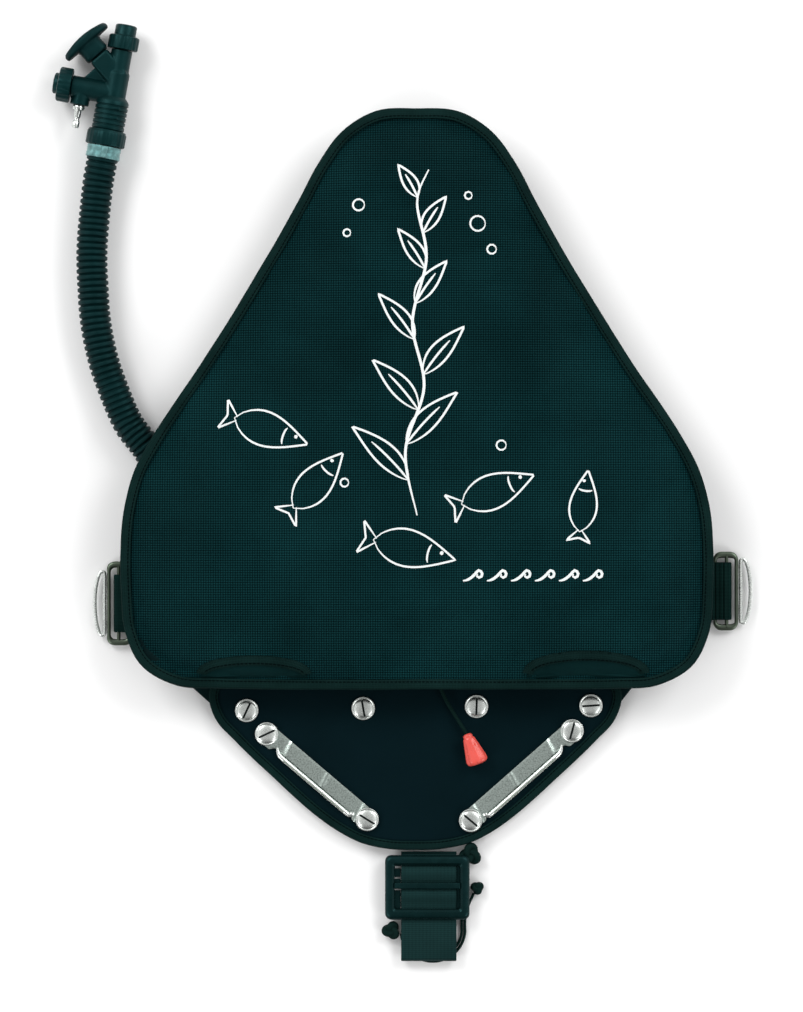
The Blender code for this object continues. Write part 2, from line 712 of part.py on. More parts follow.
def make_elbow():
    """The swivelling elbow between the wing's port and the hose."""
    along = (Vector(HOSE_ROUTE[0]) - PORT).normalized()
    elbow = cylinder("inflator_elbow", "moulded_black", 0.0092, PORT, PORT + along * 0.0240)
    stem = cylinder("elbow stem", "moulded_black", 0.0093, PORT, Vector((PORT.x, PORT.y, 0.0330)))

    def ball(work):
        bmesh.ops.create_uvsphere(work, u_segments=20, v_segments=12, radius=0.0104)

    corner = place("elbow corner", mesh_of("elbow corner", ball), "moulded_black", PORT)
    for extra in (stem, corner):
        boolean(elbow, extra, "UNION")
    clamp = turned("elbow_clamp", "stainless", [(0.0139, 0.005), (0.0148, 0.005), (0.0148, -0.005),
                                                (0.0139, -0.005)],
                   PORT + along * (HOSE_START + 0.0080), along, ring=True)
    return [elbow, clamp]


def make_inflator():
    pieces = make_elbow()
    pieces.append(wire("corrugated_hose", "black_rubber", hose_path(), HOSE_RADIUS, resolution=3))
    pieces.append(turned(
        "hose_clamp_band", "clamp_plastic",
        [(0.0139, 0.0052), (0.0147, 0.0052), (0.0147, -0.0052), (0.0139, -0.0052)],
        along_inflator(-0.0035), INFLATOR_AXIS, ring=True))
    pieces.append(turned(
        "hose_collar", "moulded_black",
        [(0.0103, 0.0068), (0.0160, 0.0068), (0.0170, 0.0052), (0.0170, -0.0068), (0.0103, -0.0068)],
        along_inflator(0.0092), INFLATOR_AXIS, steps=28, ring=True))
    pieces += [make_inflator_body(), make_mouthpiece()]

    side_seat = along_inflator(BRANCH_AT) + BRANCH_AXIS * (0.0374 + GAP)
    top_seat = along_inflator(TOP_TUBE + GAP)
    pieces.append(button_cap("inflate_button_cap", side_seat, BRANCH_AXIS, 0.0115, 0.0150, 0.0094, 20))
    pieces.append(button_cap("deflate_button_cap", top_seat, INFLATOR_AXIS, 0.0120, 0.0132, 0.0096, 20))

    nipple_top = along_inflator(BRANCH_AT - 0.0150 - GAP, NIPPLE_OUT)
    pieces.append(turned(
        "quick_connect_nipple", "stainless",
        [(0, 0), (0.0052, 0), (0.0052, -0.0040), (0.0030, -0.0050), (0.0030, -0.0105),
         (0.0024, -0.0115), (0.0024, -0.0130), (0.0032, -0.0140), (0.0032, -0.0190), (0.0026, -0.0200),
         (0, -0.0200)],
        nipple_top, INFLATOR_AXIS, steps=16))
    swing = pivot("elbow pivot", PORT, pieces)

    power = push_button("power_inflate_button", "moulded_black", side_seat, BRANCH_AXIS,
                        0.0068, 0.0158, 0.0091, 0.0112)
    vent = push_button("deflate_button", "moulded_black", top_seat, INFLATOR_AXIS,
                       0.0075, 0.0218, 0.0093, 0.0100)
    coils = [
        spring("inflate_spring", "stainless", side_seat + BRANCH_AXIS * 0.0021, BRANCH_AXIS,
               0.0055, 0.0005, 0.0044, 3),
        spring("deflate_spring", "stainless", top_seat + INFLATOR_AXIS * 0.0021, INFLATOR_AXIS,
               0.0050, 0.0005, 0.0051, 3),
    ]
    for name, seat, button in (("inflate pivot", side_seat, power), ("deflate pivot", top_seat, vent)):
        pivot(name, seat, [button]).parent = swing
    bpy.context.view_layer.update()
    for name in ("inflate pivot", "deflate pivot"):
        bpy.data.objects[name].matrix_parent_inverse = swing.matrix_world.inverted()
    for coil in coils:
        coil.parent = swing
        coil.matrix_parent_inverse = swing.matrix_world.inverted()

    turned("hose_port_flange", "moulded_black",
           [(0.0097, 0.0300), (0.0205, 0.0300), (0.0220, 0.0290), (0.0220, 0.0272), (0.0097, 0.0272)],
           Vector((PORT.x, PORT.y, 0)), steps=28, ring=True)


# Dump valve

def make_dump_valve():
    turned("dump_valve_base", "moulded_black",
           [(0.0080, 0.0335), (0.0135, 0.0335), (0.0135, 0.0298), (0.0230, 0.0298), (0.0240, 0.0285),
            (0.0240, 0.0235), (0.0080, 0.0235)], VALVE, steps=28, ring=True)
    outer, wall, foot, top = 0.0240, 0.0218, 0.0095, 0.0232
    cup = turned("dump_valve_cap", "moulded_black",
                 [(0, top), (outer, top), (outer, foot + 0.002), (outer - 0.002, foot), (0, foot)],
                 VALVE, steps=28)
    bore = turned("valve cap bore", "moulded_black",
                  [(0, top + 0.001), (wall, top + 0.001), (wall, foot + 0.0018), (0, foot + 0.0018)],
                  VALVE, steps=28)
    boolean(cup, bore, "DIFFERENCE")
    disc = turned("dump_valve_disc", "black_rubber",
                  [(0, 0.0232), (0.0150, 0.0232), (0.0160, 0.0224), (0.0160, 0.0212), (0, 0.0212)],
                  VALVE, steps=24)
    spring("dump_valve_spring", "stainless", VALVE + UP * (foot + 0.0021), UP, 0.0070, 0.0006,
           0.0212 - foot - 0.0024, 4)
    pivot("valve disc pivot", VALVE + UP * 0.0212, [disc])

    cord = wire("dump_pull_cord", "bungee", smooth(CORD_ROUTE, 14), CORD_RADIUS)
    knob = make_knob()
    pivot("dump pull pivot", KNOB_START, [cord, knob])


def make_knob():
    """The ribbed drop-shaped knob on the dump cord."""
    length = (KNOB_END - KNOB_START).length
    rows = [(0, 0.0036), (0.10, 0.0046), (0.45, 0.0072), (0.80, 0.0094), (0.93, 0.0086), (1, 0.0052)]
    along = (KNOB_END - KNOB_START).normalized()
    side = along.cross(UP)

    def build(work):
        rings = []
        for share, radius in rows:
            rings.append([
                work.verts.new(KNOB_START + along * share * length + side * radius * math.cos(a)
                               + UP * radius * 0.72 * math.sin(a))
                for a in (2 * math.pi * k / 16 for k in range(16))
            ])
        for first, second in zip(rings, rings[1:]):
            bridge(work, first, second)
        work.faces.new(rings[0])
        work.faces.new(rings[-1])
        bmesh.ops.recalc_face_normals(work, faces=work.faces)

    return finish_smooth(place("pull_knob", mesh_of("pull_knob", build), "red_plastic"))


# Lumbar plate

def book_screw(name, at, head_foot):
    """A slotted screw and its post, which clamp the plate's layers."""
    x, y = at
    r = SCREW_HEAD
    top = head_foot + 0.0027
    profile = [
        (0, top), (r * 0.6, top - 0.0004), (r, head_foot + 0.0009), (r, head_foot),
        (SCREW_SHANK, head_foot), (SCREW_SHANK, 0.0017), (0.0075, 0.0017), (0.0075, 0), (0, 0),
    ]
    screw = turned(name, "stainless", profile, Vector((x, y, 0)), steps=14)
    slot = box(f"{name} slot", "stainless", Vector((0.030, 0.0020, 0.0024)), Vector((x, y, top)), 0)
    slot.rotation_euler = (0, 0, math.radians(-25 + 40 * (x * 7 % 1)))
    boolean(screw, slot, "DIFFERENCE")
    return screw


def rail(side):
    """A flat strap between two screws, with a raised rod along its outer edge."""
    start, end, sign = RAILS[side]
    start, end = Vector(start), Vector(end)
    along = (end - start).normalized()
    out = Vector((along.y, -along.x)) * -sign
    length = (end - start).length
    low = LUMBAR_Z[1] + GAP

    def plan(distance, across):
        return start + along * distance + out * across

    wide, inner, outer = 0.0088, -0.0088, 0.0047
    turns = [math.radians(a) for a in range(0, 181, 20)]
    outline = [plan(-wide * math.sin(a), -wide * math.cos(a)) for a in turns]
    outline += [plan(0.010, wide), plan(0.014, outer), plan(length - 0.014, outer),
                plan(length - 0.010, wide)]
    outline += [plan(length + wide * math.sin(a), wide * math.cos(a)) for a in turns]
    holes = [circle(p, SCREW_HOLE, 14) for p in (start, end)]
    sheet = slab(f"rail_{side}", "stainless", [[tuple(p) for p in outline]] + holes, low, low + RAIL)
    sheet = curve_to_mesh(sheet)
    height = low + 0.0026
    line = [(0.0145, 0.0020), (0.0175, 0.0055), (0.0220, 0.0074), (length - 0.0155, 0.0074),
            (length - 0.0130, 0.0055), (length - 0.0132, 0.0020)]
    points = [plan(d, a).to_3d() + UP * height for d, a in line]
    rod = curve_to_mesh(wire(f"rod {side}", "stainless", points, 0.0023))
    boolean(sheet, rod, "UNION")
    for share in (0.16, 0.52, 0.86):
        centre = plan(length * share, -0.0020).to_3d() + UP * (low + RAIL)
        rib = box(f"rib {side} {share}", "stainless", Vector((0.0028, 0.0126, 0.0012)), centre, 0)
        rib.rotation_euler = (0, 0, math.atan2(along.y, along.x))
        boolean(sheet, rib, "UNION")
    return sheet


def make_lumbar():
    outline = smooth(mirrored(LUMBAR_HALF, LUMBAR_CENTRE_X), LUMBAR_POINTS, closed=True)
    low, high = LUMBAR_Z
    rail_ends = [p for start, end, _ in RAILS.values() for p in (start, end)]
    holes = [circle(p, SCREW_HOLE, 10) for p in [*PLATE_SCREWS, *rail_ends]]
    pieces = [slab("lumbar_plate", "lumbar_sheet", [[tuple(p) for p in outline]] + holes, low, high)]
    backing_holes = [circle(p, SCREW_HOLE, 10) for p in PLATE_SCREWS] + [
        circle(RAILS[side][0], SCREW_HOLE, 10) for side in RAILS]
    pieces.append(slab("lumbar_backing", "panel_fabric", [BACKING_OUTLINE] + backing_holes, *BACKING_Z))
    pieces.append(channel_ring("lumbar_binding", "binding_tape", outline, low - GAP - BINDING,
                               high + GAP + BINDING, 0.0080, BINDING))
    for number, at in enumerate(PLATE_SCREWS, 1):
        pieces.append(book_screw(f"plate_screw_{number}", at, high + GAP))
    for side, (start, end, _) in RAILS.items():
        pieces.append(rail(side))
        pieces.append(book_screw(f"rail_screw_{side}_upper", start, high + 2 * GAP + RAIL))
        pieces.append(book_screw(f"rail_screw_{side}_lower", end, high + 2 * GAP + RAIL))
    return pivot("lumbar pivot", LUMBAR_HINGE, pieces)


# Crotch strap

def crotch_buckle():
    """A black slide buckle: two bars over the strap, two between its layers."""
    wide, long = BUCKLE_SIZE
    side_bar, low, high = 0.0088, 0.0056, 0.0136
    x, y = BUCKLE_CENTRE.x, BUCKLE_CENTRE.y
    body = box("crotch_buckle", "moulded_black", Vector((wide, long, high - low)),
               Vector((x, y, (low + high) / 2)), 0.0035, 2)
    opening = box("buckle opening", "moulded_black", Vector((wide - 2 * side_bar, long - 0.0190, 0.03)),
                  Vector((x, y, 0.012)), 0)
    way_low, way_high = low - 0.01, 0.0110
    strap_way = box("buckle strap way", "moulded_black",
                    Vector((wide - 2 * side_bar, 0.08, way_high - way_low)),
                    Vector((x, y, (way_low + way_high) / 2)), 0)
    boolean(body, opening, "DIFFERENCE")
    boolean(body, strap_way, "DIFFERENCE")
    for number, offset in enumerate((0.0060, -0.0120), 1):
        bar = box(f"buckle bar {number}", "moulded_black", Vector((wide - side_bar, 0.0062, 0.0026)),
                  Vector((x, y + offset, 0.0069)), 0)
        boolean(body, bar, "UNION")
    return body


def make_crotch():
    top, bottom = CROTCH_HINGE.y - GAP, CROTCH_END
    lower, upper = CROTCH_LAYERS
    radius = (upper - lower) / 2
    profile = [(top, lower), (-0.440, lower)]
    fold = arc((bottom + radius, (lower + upper) / 2), radius, 270, 90, 8)
    profile += fold + [(-0.440, upper), (-0.3925, upper)]
    half = Vector((CROTCH_WIDTH / 2, 0, 0))
    strap = ribbon("crotch_strap", "webbing", [Vector((CROTCH_X, y, z)) for y, z in profile],
                   [half] * len(profile), CROTCH_WEBBING)
    centre = BUNGEE_CENTRE
    line = [centre + Vector((BUNGEE_LOOP * math.cos(a), BUNGEE_LOOP * math.sin(a), 0))
            for a in (math.radians(188 + 15 * k) for k in range(13))]
    line += [centre + Vector(step) for step in BUNGEE_TAIL]
    loop = wire("bungee_loop", "bungee", line, BUNGEE_RADIUS)
    on_buckle = [crotch_buckle(), loop]
    knots = (("bungee_knot_left", line[0], (-0.0082, 0.0030), 0.0070),
             ("bungee_knot_right", line[-1], (0.0030, 0.0048), 0.0050))
    for name, end, shift, radius in knots:
        def ball(work):
            bmesh.ops.create_uvsphere(work, u_segments=14, v_segments=8, radius=radius)

        spot = Vector((end.x + shift[0], end.y + shift[1], radius * 0.7 + 0.0003))
        knot = place(name, mesh_of(name, ball), "bungee", spot)
        knot.data.transform(Matrix.Diagonal((0.9, 1, 0.7, 1)))
        on_buckle.append(finish_smooth(knot, 60))
    swing = pivot("crotch pivot", CROTCH_HINGE, [strap])
    slide = pivot("crotch buckle pivot", BUCKLE_CENTRE, on_buckle)
    for child, parent in ((slide, swing), (swing, bpy.data.objects["lumbar pivot"])):
        child.parent = parent
        bpy.context.view_layer.update()
        child.matrix_parent_inverse = parent.matrix_world.inverted()


def main():
    clear_scene()
    make_wing()
    make_back_stack()
    make_shoulder_straps()
    for side in SIDES:
        make_side(side)
    make_waist_buckle()
    make_inflator()
    make_dump_valve()
    make_lumbar()
    make_crotch()


main()
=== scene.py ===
"""Looks of the sidemount buoyancy compensator vest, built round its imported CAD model.

Metres, +Z up and out of the outer cover, +Y towards the top of the wing, +X to its right.
"""

import json
import math

import bmesh
import bpy
import numpy as np
from mathutils import Matrix, Vector, noise
from mathutils.bvhtree import BVHTree
from mathutils.geometry import delaunay_2d_cdt


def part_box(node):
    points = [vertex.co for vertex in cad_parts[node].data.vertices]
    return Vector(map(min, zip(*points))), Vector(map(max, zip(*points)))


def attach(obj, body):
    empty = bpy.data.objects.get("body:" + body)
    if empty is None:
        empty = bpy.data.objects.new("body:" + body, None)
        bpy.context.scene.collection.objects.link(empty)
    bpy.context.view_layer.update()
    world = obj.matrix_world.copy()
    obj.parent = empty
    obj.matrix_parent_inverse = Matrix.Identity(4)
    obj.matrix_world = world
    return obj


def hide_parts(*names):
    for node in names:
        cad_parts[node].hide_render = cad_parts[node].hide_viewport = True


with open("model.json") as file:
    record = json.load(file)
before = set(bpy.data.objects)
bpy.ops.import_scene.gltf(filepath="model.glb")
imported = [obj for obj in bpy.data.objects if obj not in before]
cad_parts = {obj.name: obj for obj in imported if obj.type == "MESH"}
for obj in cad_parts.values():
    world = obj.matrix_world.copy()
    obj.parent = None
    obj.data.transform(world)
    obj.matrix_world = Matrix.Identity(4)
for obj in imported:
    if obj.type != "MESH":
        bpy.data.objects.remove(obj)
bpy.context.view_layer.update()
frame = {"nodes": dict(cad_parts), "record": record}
NODES = frame["nodes"]
RECORD = frame["record"]
SLOT_OF = {part["node"]: part["material_slot"] for part in RECORD["subparts"]}
BODY_OF = {node: body for body, members in RECORD["behaviour"]["bodies"].items() for node in members}
UP = Vector((0, 0, 1))

# Inflator hose and its cords, as the CAD model routes them
PORT = Vector((-0.190, -0.112, 0.0152))
HOSE_START = 0.0243
HOSE_DIAMETER = 0.027
HOSE_ROUTE = [
    (-0.2134, -0.0744, 0.0148), (-0.2240, -0.0575, 0.0142), (-0.2339, -0.0413, 0.0138),
    (-0.2507, -0.0181, 0.0138), (-0.2666, 0.0206, 0.0138), (-0.2739, 0.0464, 0.0138),
    (-0.2782, 0.0722, 0.0138), (-0.2799, 0.0980, 0.0138), (-0.2808, 0.1178, 0.0138),
    (-0.2804, 0.1367, 0.0138), (-0.2782, 0.1625, 0.0142), (-0.2752, 0.1883, 0.0155),
    (-0.2725, 0.2030, 0.0167), (-0.2707, 0.2128, 0.0172),
]
HOSE_TOP = Vector((-0.2700, 0.2167, 0.0172))
INFLATOR_AXIS = Vector((0.1805, 0.9836, 0)).normalized()
INFLATOR_TURN = math.atan2(INFLATOR_AXIS.y, INFLATOR_AXIS.x) - math.pi / 2
BRANCH_AXIS = Vector((-INFLATOR_AXIS.y, INFLATOR_AXIS.x, 0))
BRANCH_AT = 0.048
MOUTH_AT = 0.0625
MOUTH_ANGLE = math.radians(51.5)
MOUTH_AXIS = INFLATOR_AXIS * math.cos(MOUTH_ANGLE) + BRANCH_AXIS * math.sin(MOUTH_ANGLE)
MOUTH_NECK = 0.0250
PULL_CORD_DIAMETER = 0.0032
PULL_CORD_ROUTE = [
    (0.0188, -0.2307, 0.0140), (0.0194, -0.2400, 0.0140), (0.0206, -0.2490, 0.0140),
    (0.0248, -0.2590, 0.0139), (0.0305, -0.2690, 0.0137), (0.0368, -0.2790, 0.0135),
    (0.0432, -0.2890, 0.0133),
]
BUNGEE_DIAMETER = 0.0025
BUNGEE_CENTRE = Vector((0.0138, -0.4584, 0.00155))
BUNGEE_LOOP = 0.0280
BUNGEE_TAIL = [(0.0283, 0.0130, 0), (0.0315, 0.0225, 0), (0.0355, 0.0310, 0)]

# The photograph's frame, seen from straight above
FRAME_CENTRE = Vector((-0.0133, -0.0920))
FRAME_HEIGHT = 0.8703
CAMERA_HEIGHT = 5.0
FOCUS_HEIGHT = 0.037
SENSOR = 36.0


# Camera, floor and light

def linked(name, data):
    obj = bpy.data.objects.new(name, data)
    bpy.context.scene.collection.objects.link(obj)
    return obj


def mesh_of(name, work):
    """A new mesh from a bmesh, which is freed."""
    data = bpy.data.meshes.new(name)
    work.to_mesh(data)
    work.free()
    return data


def make_camera():
    data = bpy.data.cameras.new("camera")
    data.sensor_width = SENSOR
    data.lens = SENSOR * (CAMERA_HEIGHT - FOCUS_HEIGHT) / FRAME_HEIGHT
    camera = linked("camera", data)
    camera.location = (*FRAME_CENTRE, CAMERA_HEIGHT)
    bpy.context.scene.camera = camera


LIGHT_TARGET = Vector((0, -0.08, 0))
# Name, place, side of the square and watts
LIGHTS = [
    ("key_left", (-1.9, 1.7, 2.1), 1.4, 46), ("key_right", (1.9, 1.5, 2.1), 1.4, 37),
    ("low_left", (-2.1, -1.9, 1.7), 1.2, 25), ("low_right", (2.1, -1.9, 1.7), 1.2, 25),
]


def make_light(name, place, size, power):
    data = bpy.data.lights.new(name, "AREA")
    data.shape = "SQUARE"
    data.size = size
    data.energy = power
    light = linked(name, data)
    light.location = place
    light.rotation_euler = (LIGHT_TARGET - light.location).to_track_quat("-Z", "Y").to_euler()


# The studio's strength by direction: an axis, where the fade runs, and its strength at each end
WORLD_FADES = (("Z", (0.80, 1.0, 0.80, 0.46)), ("Y", (-0.66, -0.20, 0.10, 1.0)))


def make_world():
    """A white studio that is darker straight above and towards the foot of the vest."""
    world = bpy.data.worlds.new("studio")
    world.use_nodes = True
    bpy.context.scene.world = world
    tree = world.node_tree
    nodes, links = tree.nodes, tree.links
    direction = nodes.new("ShaderNodeTexCoord")
    split = nodes.new("ShaderNodeSeparateXYZ")
    links.new(direction.outputs["Generated"], split.inputs[0])
    both = nodes.new("ShaderNodeMath")
    both.operation = "MULTIPLY"
    for (axis, span), product in zip(WORLD_FADES, both.inputs):
        fade = nodes.new("ShaderNodeMapRange")
        fade.interpolation_type = "SMOOTHSTEP"
        for socket, value in zip(fade.inputs[1:5], span):
            socket.default_value = value
        links.new(split.outputs[axis], fade.inputs[0])
        links.new(fade.outputs[0], product)
    nodes["Background"].inputs["Color"].default_value = (1, 1, 1, 1)
    links.new(both.outputs[0], nodes["Background"].inputs["Strength"])


FLOOR_HALF = 6
FLOOR_HEIGHT = -0.0006


def make_stage():
    work = bmesh.new()
    bmesh.ops.create_grid(work, x_segments=1, y_segments=1, size=FLOOR_HALF,
                          matrix=Matrix.Translation((0, 0, FLOOR_HEIGHT)))
    floor = linked("floor", mesh_of("floor", work))
    paint = bpy.data.materials.new("floor_white")
    paint.use_nodes = True
    shader = paint.node_tree.nodes["Principled BSDF"]
    shader.inputs["Base Color"].default_value = (0.93, 0.93, 0.93, 1)
    shader.inputs["Roughness"].default_value = 0.9
    shader.inputs["Specular IOR Level"].default_value = 0.0
    floor.data.materials.append(paint)
    make_world()
    for light in LIGHTS:
        make_light(*light)
    bpy.context.scene.view_settings.view_transform = "Standard"


# Materials: every one is a small node graph

TEAL_GLOSS = (0.30, 0.92, 0.95)
WHITE_GLOSS = (1, 1, 1)


class Graph:
    """A material's node tree, with short calls for the nodes that the looks share."""

    def __init__(self, name, roughness=0.6, metallic=0.0, specular=0.3, gloss=TEAL_GLOSS):
        self.material = bpy.data.materials.new(name)
        self.material.use_nodes = True
        self.tree = self.material.node_tree
        self.shader = self.tree.nodes["Principled BSDF"]
        self.shader.inputs["Roughness"].default_value = roughness
        self.shader.inputs["Metallic"].default_value = metallic
        self.shader.inputs["Specular IOR Level"].default_value = specular
        self.shader.inputs["Specular Tint"].default_value = (*gloss, 1)

    def node(self, kind, inputs=(), **settings):
        made = self.tree.nodes.new("ShaderNode" + kind)
        for key, value in settings.items():
            setattr(made, key, value)
        for key, value in dict(inputs).items():
            self.feed(made.inputs[key], value)
        return made

    def feed(self, socket, value):
        if isinstance(value, bpy.types.NodeSocket):
            self.tree.links.new(value, socket)
        else:
            socket.default_value = value

    def math(self, operation, a, b=0.0):
        return self.node("Math", {0: a, 1: b}, operation=operation).outputs[0]

    def place(self):
        return self.node("TexCoord").outputs["Object"]

    def tape(self):
        """(distance along, distance across) a tape, cord or hose, in metres."""
        split = self.node("SeparateXYZ", {0: self.node("UVMap", uv_map="tape").outputs[0]})
        return split.outputs[0], split.outputs[1]

    def noise(self, scale, detail):
        return self.node("TexNoise", {"Vector": self.place(), "Scale": scale, "Detail": detail}).outputs[0]

    def wave(self, distance, pitch):
        """|sin| of a distance in metres, with one hump for each pitch."""
        return self.math("ABSOLUTE", self.math("SINE", self.math("MULTIPLY", distance, math.pi / pitch)))

    def steps(self, factor, *stops):
        ramp = self.node("ValToRGB", {0: factor})
        elements = ramp.color_ramp.elements
        while len(elements) < len(stops):
            elements.new(0.5)
        for element, (at, colour) in zip(elements, stops):
            element.position = at
            element.color = (*colour, 1) if hasattr(colour, "__len__") else (colour,) * 3 + (1,)
        return ramp.outputs[0]

    def range(self, value, low, high, new_low, new_high):
        return self.node("MapRange", {0: value, 1: low, 2: high, 3: new_low, 4: new_high}).outputs[0]

    def multiply(self, factor, a, b):
        return self.node("Mix", {0: factor, 6: a, 7: b}, data_type="RGBA", blend_type="MULTIPLY").outputs[2]

    def bump(self, height, distance, strength=1.0):
        inputs = {"Height": height, "Distance": distance, "Strength": strength}
        below = self.shader.inputs["Normal"]
        if below.is_linked:
            inputs["Normal"] = below.links[0].from_socket
        self.feed(below, self.node("Bump", inputs).outputs[0])

    def colour(self, value):
        self.feed(self.shader.inputs["Base Color"], value)

    def roughness(self, value):
        self.feed(self.shader.inputs["Roughness"], value)


def tint(colour, share):
    return tuple(c * share for c in colour)


def woven(name, colour, pitch, depth, contrast, patches=0.25, specular=0.05, fade=None):
    """Basket weave seen in plan, with soft patches of wear.

    fade is (y, y, share at the first, share at the second) of a change of tone up the piece."""
    look = Graph(name, 0.75, specular=specular)
    split = look.node("SeparateXYZ", {0: look.place()})
    x, y = split.outputs[0], split.outputs[1]
    across, along = look.wave(x, pitch), look.wave(y, pitch)
    cell = look.math("ADD", look.math("FLOOR", look.math("DIVIDE", x, pitch)),
                     look.math("FLOOR", look.math("DIVIDE", y, pitch)))
    odd = look.math("PINGPONG", cell, 1.0)
    over = look.node(
        "Mix", {0: odd, 2: look.math("MULTIPLY", across, look.math("ADD", along, 0.6)),
                3: look.math("MULTIPLY", along, look.math("ADD", across, 0.6))}).outputs[0]
    threads = look.steps(look.math("ADD", look.math("MULTIPLY", over, 0.55), look.math(
        "MULTIPLY", look.noise(900, 3), 0.25)),
        (0.15, tint(colour, 1 - contrast)), (0.95, tint(colour, 1 + contrast)))
    wear = look.steps(look.noise(14, 5), (0.30, 1 - patches), (0.72, 1 + patches))
    worn = look.multiply(1.0, threads, wear)
    if fade:
        share = look.steps(look.range(y, fade[0], fade[1], 0, 1), (0.0, fade[2]), (1.0, fade[3]))
        worn = look.multiply(1.0, worn, share)
    look.colour(worn)
    look.roughness(look.range(over, 0, 1.2, 0.9, 0.62))
    look.bump(over, depth)
    look.bump(look.noise(130, 4), 0.0002, 0.6)
    return look.material


RIB_CONTRAST = 0.45


def ribbed(name, colour, rib, column, depth, specular=0.05):
    """Webbing or tape: ribs across it and columns along it, with fuzzy threads."""
    look = Graph(name, 0.75, specular=specular)
    along, across = look.tape()
    ribs, columns = look.wave(along, rib), look.wave(across, column)
    cloth = look.math("ADD", look.math("MULTIPLY", ribs, 0.65), look.math("MULTIPLY", columns, 0.35))
    fuzz = look.noise(1100, 3)
    threads = look.steps(
        look.math("ADD", look.math("MULTIPLY", cloth, 0.75), look.math("MULTIPLY", fuzz, 0.3)),
        (0.15, tint(colour, 1 - RIB_CONTRAST)), (0.95, tint(colour, 1 + RIB_CONTRAST)))
    wear = look.steps(look.noise(38, 4), (0.3, 0.75), (0.75, 1.25))
    look.colour(look.multiply(1.0, threads, wear))
    look.roughness(look.range(cloth, 0, 1, 0.9, 0.6))
    look.bump(cloth, depth)
    return look.material


def moulded(name, colour, roughness, specular=0.22, patches=0.2, gloss=TEAL_GLOSS):
    """Moulded plastic or rubber: fine grain, faint flow marks and scuffs."""
    look = Graph(name, roughness, specular=specular, gloss=gloss)
    flow = look.steps(look.noise(55, 4), (0.3, tint(colour, 1 - patches)), (0.75, tint(colour, 1 + patches)))
    scuffs = look.steps(look.noise(420, 5), (0.62, 1.0), (0.80, 1.6))
    look.colour(look.multiply(1.0, flow, scuffs))
    look.roughness(look.range(look.noise(160, 4), 0.3, 0.75, roughness - 0.08, roughness + 0.12))
    look.bump(look.noise(2600, 2), 0.00006)
    return look.material


def metal(name, colour, roughness):
    """Stainless or plated steel: fine grain and stains."""
    look = Graph(name, roughness, metallic=1.0, specular=0.5, gloss=WHITE_GLOSS)
    grain = look.noise(900, 4)
    stain = look.steps(look.noise(60, 5), (0.3, tint(colour, 0.82)), (0.7, tint(colour, 1.08)))
    look.colour(look.multiply(0.25, stain, look.steps(grain, (0.35, 0.55), (0.65, 1.0))))
    look.roughness(look.range(grain, 0.3, 0.7, roughness, roughness + 0.12))
    look.bump(grain, 0.00002)
    return look.material


def mottled(name, colour):
    """Rail strap: satin steel with a mottled, tumbled face."""
    look = Graph(name, 0.3, metallic=1.0, specular=0.5, gloss=WHITE_GLOSS)
    mottle = look.noise(750, 6)
    look.colour(look.steps(mottle, (0.30, tint(colour, 0.42)), (0.50, tint(colour, 0.85)),
                           (0.75, tint(colour, 1.25))))
    look.roughness(look.range(mottle, 0.3, 0.7, 0.42, 0.26))
    look.bump(mottle, 0.00009)
    return look.material


def braided(name, colour, pitch, depth):
    """Braided cord: two sets of strands that cross."""
    look = Graph(name, 0.7, specular=0.06)
    along, across = look.tape()
    one = look.wave(look.math("ADD", along, across), pitch)
    two = look.wave(look.math("SUBTRACT", along, across), pitch)
    strands = look.math("MAXIMUM", one, two)
    look.colour(look.steps(strands, (0.35, tint(colour, 0.5)), (1.0, tint(colour, 1.5))))
    look.bump(strands, depth)
    return look.material


def printed(name):
    """White screen ink that lets the weave show through."""
    look = Graph(name, 0.65, specular=0.2)
    grain = look.noise(1500, 3)
    look.colour(look.steps(grain, (0.30, (0.62, 0.66, 0.66)), (0.62, (0.86, 0.88, 0.87))))
    look.bump(grain, 0.00008)
    return look.material


def clear_band(name, colour):
    """Cloudy grey plastic strap with a faint bumpy grain."""
    look = Graph(name, 0.3, specular=0.5)
    cloud = look.noise(260, 5)
    look.colour(look.steps(cloud, (0.3, tint(colour, 0.55)), (0.55, colour), (0.75, tint(colour, 1.7))))
    look.bump(look.noise(700, 3), 0.00008)
    return look.material


